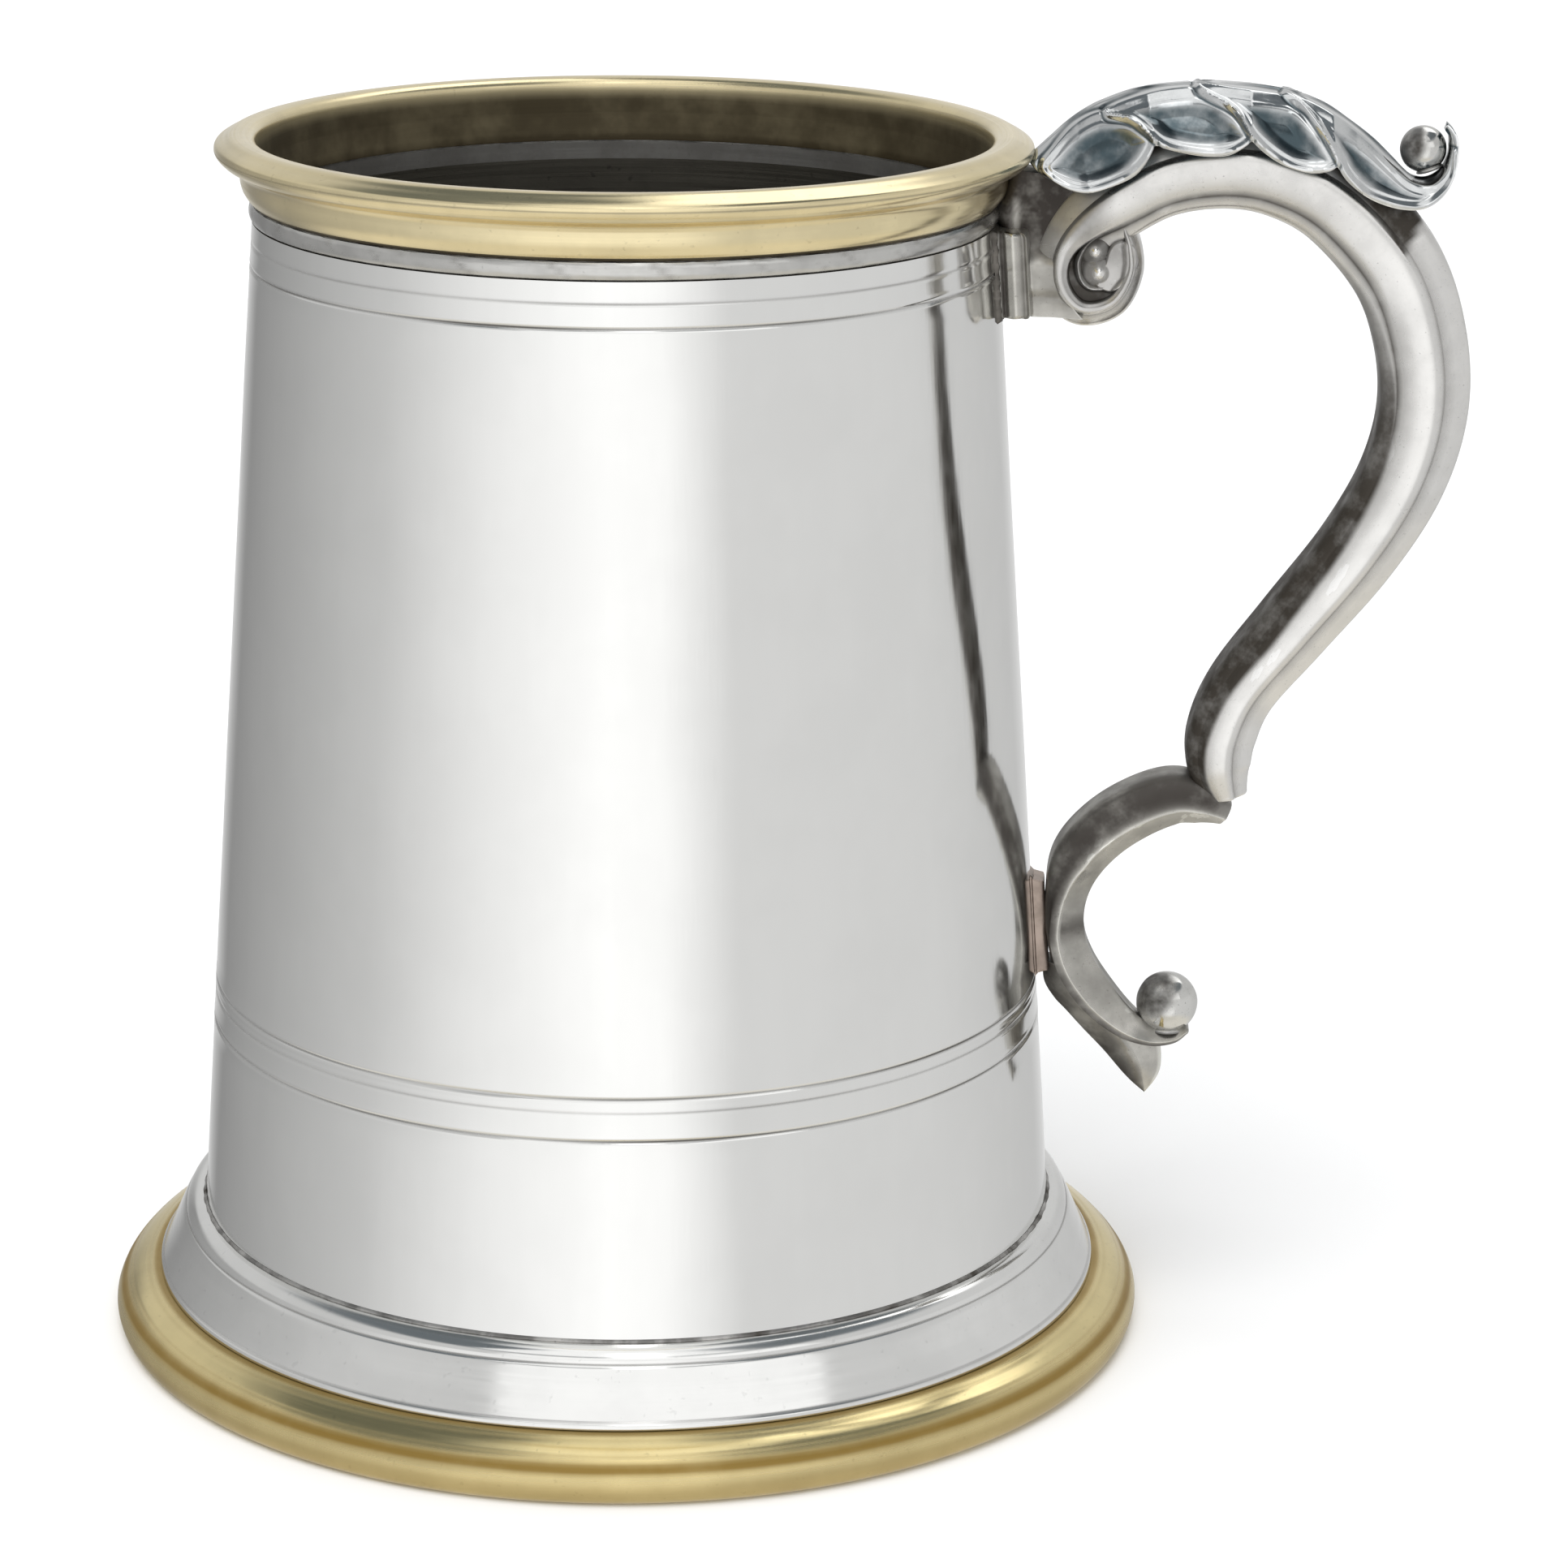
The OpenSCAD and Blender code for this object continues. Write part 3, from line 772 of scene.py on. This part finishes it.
EYE = (48.6, 114.3)
COMMA = [
    (48.0, 112.3), (49.5, 111.7), (51.0, 112.5), (52.2, 114.6), (52.0, 116.4), (50.9, 117.0), (49.8, 116.8),
    (49.2, 116.0), (48.9, 114.9), (48.3, 113.0)]
BAND_CREASE = np.array([(51.0, 118.2), (50.7, 116.4), (50.9, 114.7), (50.7, 113.2), (49.7, 111.9)])
EYE_RIDGE = [(49.6, 118.2), (48.0, 117.4), (46.9, 116.4), (46.25, 115.1), (46.2, 114.0), (46.55, 112.9),
             (47.4, 112.15), (48.6, 112.1)]


def volute_eye():
    """Relief inside the volute: a thin curling ridge and a comma-shaped eye with two bosses."""
    rings, spokes, reach = 60, 150, 3.7
    radius = np.linspace(0.0, 1.0, rings) ** 0.85 * reach
    angle = np.arange(spokes) * 2 * math.pi / spokes
    rho, phi = np.meshgrid(radius[1:], angle, indexing="ij")
    x, z = EYE[0] + rho * np.cos(phi), EYE[1] + rho * np.sin(phi) * 1.08
    comma_line = spline(COMMA, 8, closed=True)

    def height(px, pz):
        gap = distance_to(np.concatenate([comma_line, comma_line[:1]]), px, pz)
        comma = smoothstep(-0.25, 0.25, np.where(inside_polygon(comma_line, px, pz), gap, -gap))
        upper, lower = np.hypot(px - 47.9, pz - 115.9), np.hypot(px - 48.3, pz - 113.7)
        level = 2.55 + 0.95 * comma - 0.22 * comma * bump(distance_to(BAND_CREASE, px, pz), 0.18)
        level = np.maximum(level, 2.55 + 1.75 * bump(upper, 1.15))
        level = np.maximum(level, 2.55 + 1.75 * bump(lower, 1.30))
        return np.maximum(level, 2.55 + 1.25 * bump(distance_to(spline(EYE_RIDGE, 8), px, pz), 0.28))

    top = height(x, z)
    hub = float(height(np.array([EYE[0]]), np.array([EYE[1]]))[0])
    dark = 0.55 * (1.0 - smoothstep(2.75, 3.25, top)) + 0.36 + 0.2 * smoothstep(113.0, 115.5, z)
    dark = np.maximum(dark, 0.85 * smoothstep(115.4, 117.2, z - 0.25 * (x - EYE[0])))
    dark = np.maximum(dark, 0.75 * bump(distance_to(BAND_CREASE, x, z), 0.20))
    dark = dark * (1 - smoothstep(3.75, 4.15, top))
    half = (rings - 1) * spokes
    front = np.stack([x, -top, z], -1).reshape(-1, 3)
    back = front * OTHER_SIDE
    verts = np.concatenate([front, back, [[EYE[0], -hub, EYE[1]], [EYE[0], hub, EYE[1]]]])
    faces = grid_faces(rings - 1, spokes, False, True)
    faces += [[i + half for i in face[::-1]] for face in faces]
    edge = (rings - 2) * spokes
    for s in range(spokes):
        n = (s + 1) % spokes
        faces.append([edge + s, edge + n, edge + n + half, edge + s + half])
        faces.append([2 * half, n, s])
        faces.append([2 * half + 1, half + s, half + n])
    aged_and_shaded = np.concatenate([dark.ravel(), dark.ravel(), [0.3, 0.3]])
    add_piece("volute_eye", verts, faces, CASTING, ["volute_boss"], aged_and_shaded, sharp=60)


# ------ leaf

CROWN = [
    (41.1, 125.1), (43.2, 127.1), (44.6, 128.4), (46.2, 129.6), (48.0, 130.6), (51.3, 131.85), (54.9, 132.4),
    (58.6, 132.62), (63.6, 132.45), (67.2, 131.9), (70.4, 130.8), (73.2, 129.0), (75.6, 127.2), (77.5, 125.4),
    (78.6, 124.3), (79.6, 123.55), (80.9, 123.4), (82.2, 124.1), (82.95, 125.6), (83.05, 127.2),
    (82.75, 128.5)]
HEM = [
    [(41.1, 124.9), (42.0, 124.0), (43.6, 123.2), (45.2, 122.5), (47.4, 122.4), (50.9, 123.8), (52.4, 125.2),
     (53.5, 127.3)],
    [(53.5, 127.3), (54.9, 126.9), (56.5, 126.55), (58.6, 126.3), (60.7, 126.4), (62.1, 127.1),
     (63.1, 127.9)],
    [(63.1, 127.9), (64.3, 126.8), (65.8, 125.8), (67.6, 125.1), (69.4, 124.75), (70.8, 124.95),
     (71.7, 125.4)],
    [(71.7, 125.4), (72.8, 123.9), (74.7, 122.4), (76.6, 121.5), (78.6, 121.0), (80.6, 121.05), (82.3, 122.1),
     (83.4, 124.0), (83.8, 126.2), (83.6, 127.8), (82.85, 128.75)],
]
# Where each lobe's hem starts along the crown, as a share of its length
HEM_AT = [0.0, 0.27, 0.475, 0.64, 1.0]
LOBES = [
    [(42.4, 124.3), (43.6, 126.3), (45.4, 128.3), (47.6, 129.6), (49.6, 129.8), (51.4, 129.3), (53.0, 128.1),
     (53.3, 127.2), (52.3, 125.3), (50.6, 123.8), (47.4, 122.5), (44.8, 122.7)],
    [(48.6, 129.9), (51.6, 131.3), (54.6, 132.0), (58.0, 132.2), (60.4, 131.3), (62.6, 129.2), (63.0, 128.0),
     (61.6, 126.9), (59.4, 126.45), (56.4, 126.7), (54.2, 127.3), (52.6, 128.5), (51.0, 129.5)],
    [(57.6, 132.5), (61.0, 132.3), (64.6, 131.9), (67.4, 131.3), (69.2, 129.6), (70.8, 127.4), (71.6, 125.5),
     (69.8, 124.9), (67.4, 125.2), (65.2, 126.4), (63.2, 128.2), (61.4, 130.6)],
    [(66.4, 132.0), (69.0, 131.0), (71.6, 129.6), (74.6, 127.4), (77.4, 124.8), (79.4, 123.2), (81.4, 122.9),
     (82.8, 124.2), (83.4, 126.4), (83.3, 123.6), (81.2, 121.4), (78.6, 121.2), (75.0, 122.4), (72.9, 124.2),
     (71.7, 126.2), (70.2, 128.6), (68.6, 130.6)],
]
# Half-width of the leaf by share of the crown's length
LEAF_WIDTH = [
    (0.0, 3.2), (0.05, 4.6), (0.12, 5.6), (0.22, 6.1), (0.45, 6.2), (0.60, 6.1), (0.70, 5.6), (0.78, 4.8),
    (0.85, 3.9), (0.91, 3.0), (0.96, 2.2), (1.0, 1.3)]


def resampled(points, share):
    """Points of a run at these shares of its length."""
    step = np.linalg.norm(np.diff(points, axis=0), axis=1)
    length = np.concatenate([[0], np.cumsum(step)])
    length /= length[-1]
    return np.stack([np.interp(share, length, points[:, k]) for k in range(2)], -1)


def leaf():
    """Thumb leaf over the arch: four lobes a side, each hollowed and edged with a thin raised line."""
    stations, columns = 400, 58
    share = np.linspace(0, 1, stations)
    crown = resampled(spline(CROWN, 12), share)
    hem = np.zeros_like(crown)
    for run, start, end in zip(HEM, HEM_AT[:-1], HEM_AT[1:]):
        here = (share >= start) & (share <= end)
        hem[here] = resampled(spline(run, 12), (share[here] - start) / (end - start))
    width = np.interp(share, *np.array(LEAF_WIDTH).T)
    turn = np.linspace(0, math.pi / 2, columns)[None, :]
    drop = 1 - np.cos(turn)
    spread = np.sin(turn) ** 0.92
    x = crown[:, :1] + (hem[:, :1] - crown[:, :1]) * drop
    z = crown[:, 1:] + (hem[:, 1:] - crown[:, 1:]) * drop
    y = width[:, None] * spread
    push, dark = np.zeros_like(x), np.zeros_like(x)
    for lobe in LOBES:
        outline = spline(lobe, 8, closed=True)
        ring = np.concatenate([outline, outline[:1]])
        gap = distance_to(ring, x, z)
        within = inside_polygon(outline, x, z)
        hollow = -0.85 * smoothstep(0.25, 2.1, gap) * within
        push = np.where(within, hollow, push)
        line = 0.24 * bump(gap, 0.20) - 0.10 * bump(gap - 0.50, 0.16)
        push = push + line * (gap < 1.2)
        # Painted dark reflection: each hollow darkens towards its middle
        dark = np.where(within, 0.92 * smoothstep(0.35, 1.45, gap), dark)
        dark = np.maximum(dark, 0.95 * bump(gap - 0.50, 0.16) * ~within)
    middle = bump(y, 0.45)
    push = push * (1 - middle) + 0.12 * middle
    dark = np.maximum(dark, 0.7 * bump(y - 0.85, 0.22) * (share[:, None] < 0.75))
    # Painted shade at the leaf's root, under the rim's lip
    dark = np.maximum(dark, 0.9 * smoothstep(0.035, 0.0, share)[:, None])
    dark = np.maximum(dark, 0.22)
    lean = np.stack([np.zeros_like(turn), np.sin(turn), np.cos(turn)], -1)
    side = np.stack([x, y, z], -1) + push[..., None] * lean
    # The hem turns in underneath to the bar
    shrink = [(0.985, -0.18), (0.93, -0.22), (0.84, 0.02), (0.70, 0.5)]
    toward = crown - hem
    toward /= np.linalg.norm(toward, axis=1)[:, None] + 1e-9
    tuck = []
    for narrow, lift in shrink:
        edge = side[:, -1]
        tuck.append(np.stack([edge[:, 0] + toward[:, 0] * lift, edge[:, 1] * narrow,
                              edge[:, 2] + toward[:, 1] * lift], -1))
    side = np.concatenate([side, np.stack(tuck, 1)], 1)
    aged_and_shaded = np.concatenate([dark, np.tile([0.0, 0.2, 1.0, 1.0], (stations, 1))], 1)
    section = np.concatenate([side * OTHER_SIDE, side[:, :0:-1]], 1)
    section_aged = np.concatenate([aged_and_shaded, aged_and_shaded[:, :0:-1]], 1)
    verts, faces = closed_ends(section)
    add_piece("thumb_leaf_cast", verts, faces, BRIGHT, ["thumb_leaf"],
              np.append(section_aged.ravel(), [0, 0]), sharp=60)


# ------ balls

def cast_ball(name, node, seat, material):
    """Cast ball on a short flared neck that points at its seat (dx, dz)."""
    centre, radius = ball_centre(node)
    rings, spokes = 72, 96
    polar = np.linspace(0, math.pi, rings)
    spread = radius * np.sin(polar)
    along = radius * np.cos(polar)
    neck = 0.30 * radius
    near_seat = smoothstep(math.pi - 0.62, math.pi - 0.30, polar)
    spread = spread + neck * 0.9 * near_seat * smoothstep(math.pi, math.pi - 0.2, polar)
    spin = np.arange(spokes) * 2 * math.pi / spokes
    down = Vector((seat[0], 0, seat[1])).normalized()
    turn = Vector((0, 0, -1)).rotation_difference(down).to_matrix()
    a, s = np.meshgrid(along, spin, indexing="ij")
    r = np.broadcast_to(spread[:, None], a.shape)
    cast = 1 + 0.006 * np.sin(3 * s + 2 * a) + 0.004 * np.sin(5 * s - 3 * a + 1)
    local = np.stack([r * np.cos(s) * cast, r * np.sin(s) * cast, a], -1).reshape(-1, 3)
    verts = local @ np.array(turn).T + centre
    faces = grid_faces(rings, spokes, False, True)
    # Painted shade: each ball is darker on its upper left front, in its own frame
    shaded = (local / radius) @ np.array((-0.62, -0.55, 0.56))
    streaked = 0.25 * smoothstep(0.1, 0.9, np.sin(s + 0.9 * a) * np.sin(1.1 * a - s + 1))
    seated = np.repeat(0.9 * near_seat, spokes)
    aged_and_shaded = np.max([seated, 0.88 * smoothstep(0.40, 0.80, shaded), streaked.ravel()], axis=0)
    add_piece(name, verts, faces, material, [node], aged_and_shaded, sharp=60, weld=True)


# ------ pads and web

def saddle(name, node, inner, outer, half_width, material, surface, edge):
    """Pad that follows the body, rounded at its edges.

    surface adds to the outer face, from across and height.
    """
    rows, columns = 40, 64
    z_low, z_high = z_range(node)
    v, u = np.meshgrid(np.linspace(0, 1, rows), np.linspace(-1, 1, columns), indexing="ij")
    across, height = u * half_width, z_low + (z_high - z_low) * v
    to_edge = np.minimum(half_width - np.abs(across), np.minimum(height - z_low, z_high - height))
    rise = np.sqrt(np.clip(1 - (1 - np.clip(to_edge / edge, 0, 1)) ** 2, 0, 1))
    face = inner + (outer - inner + surface(across, height)) * rise

    def place(offset):
        r = cone_r(height) + offset
        angle = across / cone_r(height)
        return np.stack([r * np.cos(angle), r * np.sin(angle), height], -1).reshape(-1, 3)

    front, back = place(face), place(np.full_like(face, inner - 0.02))
    count = rows * columns
    faces = grid_faces(rows, columns)
    faces += [[i + count for i in f[::-1]] for f in faces]
    border = (list(range(columns)) + [r * columns + columns - 1 for r in range(1, rows)]
              + [(rows - 1) * columns + c for c in range(columns - 2, -1, -1)]
              + [r * columns for r in range(rows - 2, 0, -1)])
    for a, b in zip(border, border[1:] + border[:1]):
        faces.append([a, b, b + count, a + count])
    add_piece(name, np.concatenate([front, back]), faces, material, [node], sharp=45, weld=True)


def fluted_pad():
    """Upper pad, a block that follows the body. Upright flutes run down each of its ends."""
    low, high = z_range("upper_pad")
    near, far, face_points = 0.33, 3.3, 24
    off = np.linspace(near, far, 34)
    half = 5.35 + 0.25 * bump(off - 1.9, 0.45) - 0.35 * bump(off - 0.8, 0.3) - 0.3 * bump(off - 2.9, 0.3)
    dark = 0.9 * bump(off - 0.7, 0.36) + 0.5 * bump(off - 2.85, 0.42)
    face = np.linspace(-1, 1, face_points + 2)[1:-1]
    plain = np.full(face_points, 0.3)
    across = np.concatenate([-half, face * half[-1], half[::-1], -face * half[0]])
    out = np.concatenate([off, np.full(face_points, far), off[::-1], np.full(face_points, near)])
    aged_and_shaded = np.concatenate([dark, plain, dark[::-1], plain])
    rise = np.concatenate([np.linspace(0, 1, 7), np.linspace(1, 0, 7)])
    rise = np.sqrt(1 - (1 - rise) ** 2)
    height = np.concatenate([np.linspace(low, low + 0.6, 7), np.linspace(high - 0.6, high, 7)])
    rows = []
    for z, full in zip(height, rise):
        r = cone_r(z) + near + (out - near) * (0.82 + 0.18 * full)
        angle = across * (0.93 + 0.07 * full) / cone_r(z)
        rows.append(np.stack([r * np.cos(angle), r * np.sin(angle), np.full_like(r, z)], -1))
    flat, faces = closed_ends(np.array(rows))
    add_piece("upper_pad_fluted", flat, faces, AGED, ["upper_pad"],
              np.append(np.tile(aged_and_shaded, len(rows)), [0.5, 0.5]), sharp=45)


def pads():
    """The two solder seams and the lower pad."""
    def grain(across, height):
        return (0.04 * np.sin(5.3 * across + 2) * np.sin(4.1 * height)
                + 0.02 * np.sin(9.7 * across + 7.1 * height))

    def ripple(across, height):
        return 0.03 * np.sin(1.3 * height)

    saddle("upper_seam", "upper_solder", 0.0, 0.42, 5.6, SOLDER, grain, edge=0.35)
    saddle("lower_pad_cast", "lower_pad", 0.25, 1.45, 1.9, COPPERY, ripple, edge=0.4)
    saddle("lower_seam", "lower_solder", 0.0, 0.30, 1.8, COPPERY, grain, edge=0.25)


WEB_LEFT = [
    (40.9, 109.2), (40.9, 112.0), (40.4, 115.0), (38.2, 118.0), (37.7, 119.6), (38.5, 121.6), (39.1, 123.9)]
WEB_RIGHT = [
    (46.8, 109.0), (45.2, 111.0), (44.6, 113.6), (44.9, 116.2), (46.2, 118.6), (47.4, 120.6), (48.2, 122.9)]


def web():
    """Web between the upper pad and the volute, with a thicker arm along its foot."""
    left, right = spline(WEB_LEFT, 16), spline(WEB_RIGHT, 16)
    rows = []
    for left_at, right_at in zip(left, right):
        run = []
        for k in range(25):
            t = k / 24
            p = left_at + (right_at - left_at) * t
            arm = float(smoothstep(116.2, 114.2, p[1]) - 0.35 * bump(p[1] - 110.9, 0.8))
            edge = math.sqrt(max(0.0, 1 - (1 - min(1.0, t / 0.16)) ** 2))
            deep = 1.2 + (1.5 + 1.25 * arm) * edge - 0.35 * math.sin(math.pi * t)
            streak = 0.55 * float(bump(p[0] - 39.8, 0.35) * smoothstep(121.6, 120.2, p[1]))
            # Painted shadow: the web is dark all over, less on its arm and along a strip near its left edge
            # below the rim
            run.append((p[0], -deep, p[1], 1.0 - 0.72 * arm - streak))
        rows.append(run + [(x, -y, z, dark) for x, y, z, dark in run[::-1]])
    grid = np.array(rows)
    verts, faces = closed_ends(grid[..., :3])
    add_piece("upper_web", verts, faces, AGED, ["upper_bracket"],
              np.append(grid[..., 3].ravel(), [0.5, 0.5]), sharp=40)


# ------ studio

def studio_floor():
    """Plain pale floor, a large disc."""
    mesh = bpy.data.meshes.new("floor")
    work = bmesh.new()
    bmesh.ops.create_circle(work, cap_ends=True, segments=96, radius=6.0)
    work.to_mesh(mesh)
    work.free()
    floor = placed("floor", mesh)
    material = bpy.data.materials.new("pale_floor")
    material.use_nodes = True
    g = Graph(material.node_tree)
    shader = g.node("ShaderNodeBsdfDiffuse", {"Color": (0.93, 0.93, 0.93, 1)})
    g.put(shader.outputs[0], g.node("ShaderNodeOutputMaterial").inputs[0])
    mesh.materials.append(material)
    floor.visible_glossy = False


# Brightness of the studio's walls by bearing from the front, in degrees towards the handle: a bright front,
# which falls off to the left as far as a dark screen, and an even right side
WALLS = [(-180, 0.8), (-165, 0.7), (-145, 0.3), (-110, 0.45), (-70, 0.65), (-35, 1.0), (0, 1.25), (15, 1.2),
         (35, 0.8), (100, 0.75), (155, 0.6), (180, 0.8)]


def studio_world():
    """Soft studio light: pale walls that vary by bearing, a dimmer ceiling and a few softboxes."""
    world = bpy.data.worlds.new("studio")
    bpy.context.scene.world = world
    world.use_nodes = True
    g = Graph(world.node_tree)
    way = g.node("ShaderNodeTexCoord").outputs["Generated"]
    x, y, z = g.node("ShaderNodeSeparateXYZ", {0: way}).outputs
    bearing = g.math("DIVIDE", g.math("ARCTAN2", x, g.times(y, -1.0)), 2 * math.pi)
    bearing = g.math("ADD", bearing, 0.5)
    walls = g.ramp(bearing, [((a + 180) / 360, (v / 1.3,) * 3) for a, v in WALLS])
    walls = g.mix(1.0, walls, (1.3, 1.3, 1.3, 1), "MULTIPLY")
    light = g.mix(g.remap(z, 0.20, 0.34), walls, (0.68, 0.68, 0.68, 1))
    light = g.mix(g.remap(z, 0.64, 0.78), light, (0.16, 0.18, 0.195, 1))
    light = g.mix(g.remap(z, -0.48, -0.78), light, (0.86, 0.83, 0.76, 1))

    def softbox(light, side, height, half_wide, half_high, strength, soft=4.0):
        """A rectangle of light. side is its bearing and height its elevation, in degrees."""
        turn = g.times(g.math("SUBTRACT", bearing, (side + 180) / 360), 360.0)
        rise = g.times(g.math("ARCSINE", z), 180 / math.pi)
        turn = g.math("ABSOLUTE", turn)
        rise = g.math("ABSOLUTE", g.math("SUBTRACT", rise, height))
        mask = g.times(g.remap(turn, half_wide + soft, half_wide), g.remap(rise, half_high + soft, half_high))
        return g.mix(mask, light, (strength, strength, strength, 1))

    light = softbox(light, 13, 29, 41, 11, 1.16, 1.0)
    light = softbox(light, 0, 68, 40, 17, 1.12, 6.0)
    light = softbox(light, 8, 56, 5, 14, 2.2)
    light = g.mix(g.remap(z, 0.945, 0.985), light, (1.15, 1.15, 1.15, 1))
    light = softbox(light, 165, 58, 36, 12, 1.8, 9.0)
    front = g.node("ShaderNodeBackground", {"Color": light, "Strength": 1.0})
    shown = g.node("ShaderNodeBackground", {"Color": (1, 1, 1, 1), "Strength": 1.0})
    seen = g.node("ShaderNodeLightPath").outputs["Is Camera Ray"]
    both = g.node("ShaderNodeMixShader", {0: seen})
    g.put(front.outputs[0], both.inputs[1])
    g.put(shown.outputs[0], both.inputs[2])
    g.put(both.outputs[0], g.node("ShaderNodeOutputWorld").inputs[0])


def studio_sun():
    """Broad soft overhead light for the floor."""
    light = bpy.data.lights.new("overhead", "SUN")
    light.energy = 1.6
    light.angle = math.radians(50)
    lamp = placed("overhead", light)
    lamp.rotation_euler = (math.radians(14), math.radians(-10), 0)
    lamp.visible_glossy = False


def studio_camera():
    """Camera a little above the rim, in front of the tankard and slightly towards the handle."""
    yaw, pitch, roll = math.radians(-2.9169), math.radians(16.5096), math.radians(0.4327)
    forward = Vector((math.sin(yaw) * math.cos(pitch), math.cos(yaw) * math.cos(pitch), -math.sin(pitch)))
    level = Vector((math.cos(yaw), -math.sin(yaw), 0))
    upright = level.cross(forward)
    right = level * math.cos(roll) + upright * math.sin(roll)
    up = upright * math.cos(roll) - level * math.sin(roll)
    data = bpy.data.cameras.new("camera")
    data.sensor_width = 36.0
    data.lens = 108.276
    data.clip_start, data.clip_end = 0.01, 30
    camera = placed("camera", data)
    camera.matrix_world = Matrix((right, up, -forward)).transposed().to_4x4()
    camera.location = (0.0409, -0.47625, 0.19944)
    bpy.context.scene.camera = camera


# ------ build

studio_camera()
studio_world()
studio_sun()
studio_floor()
body()
floor_disc()
neck_bead()
rim_band()
rim_seam()
foot_skirt()
foot_seam()
foot_ring()
main_scroll()
lower_scroll()
volute_eye()
leaf()
cast_ball("thumb_ball_cast", "thumb_ball", (0.35, -1.0), SATIN)
cast_ball("lower_ball_cast", "lower_ball", (0.0, -1.0), SATIN)
fluted_pad()
pads()
web()
bpy.context.scene.view_settings.view_transform = "Standard"
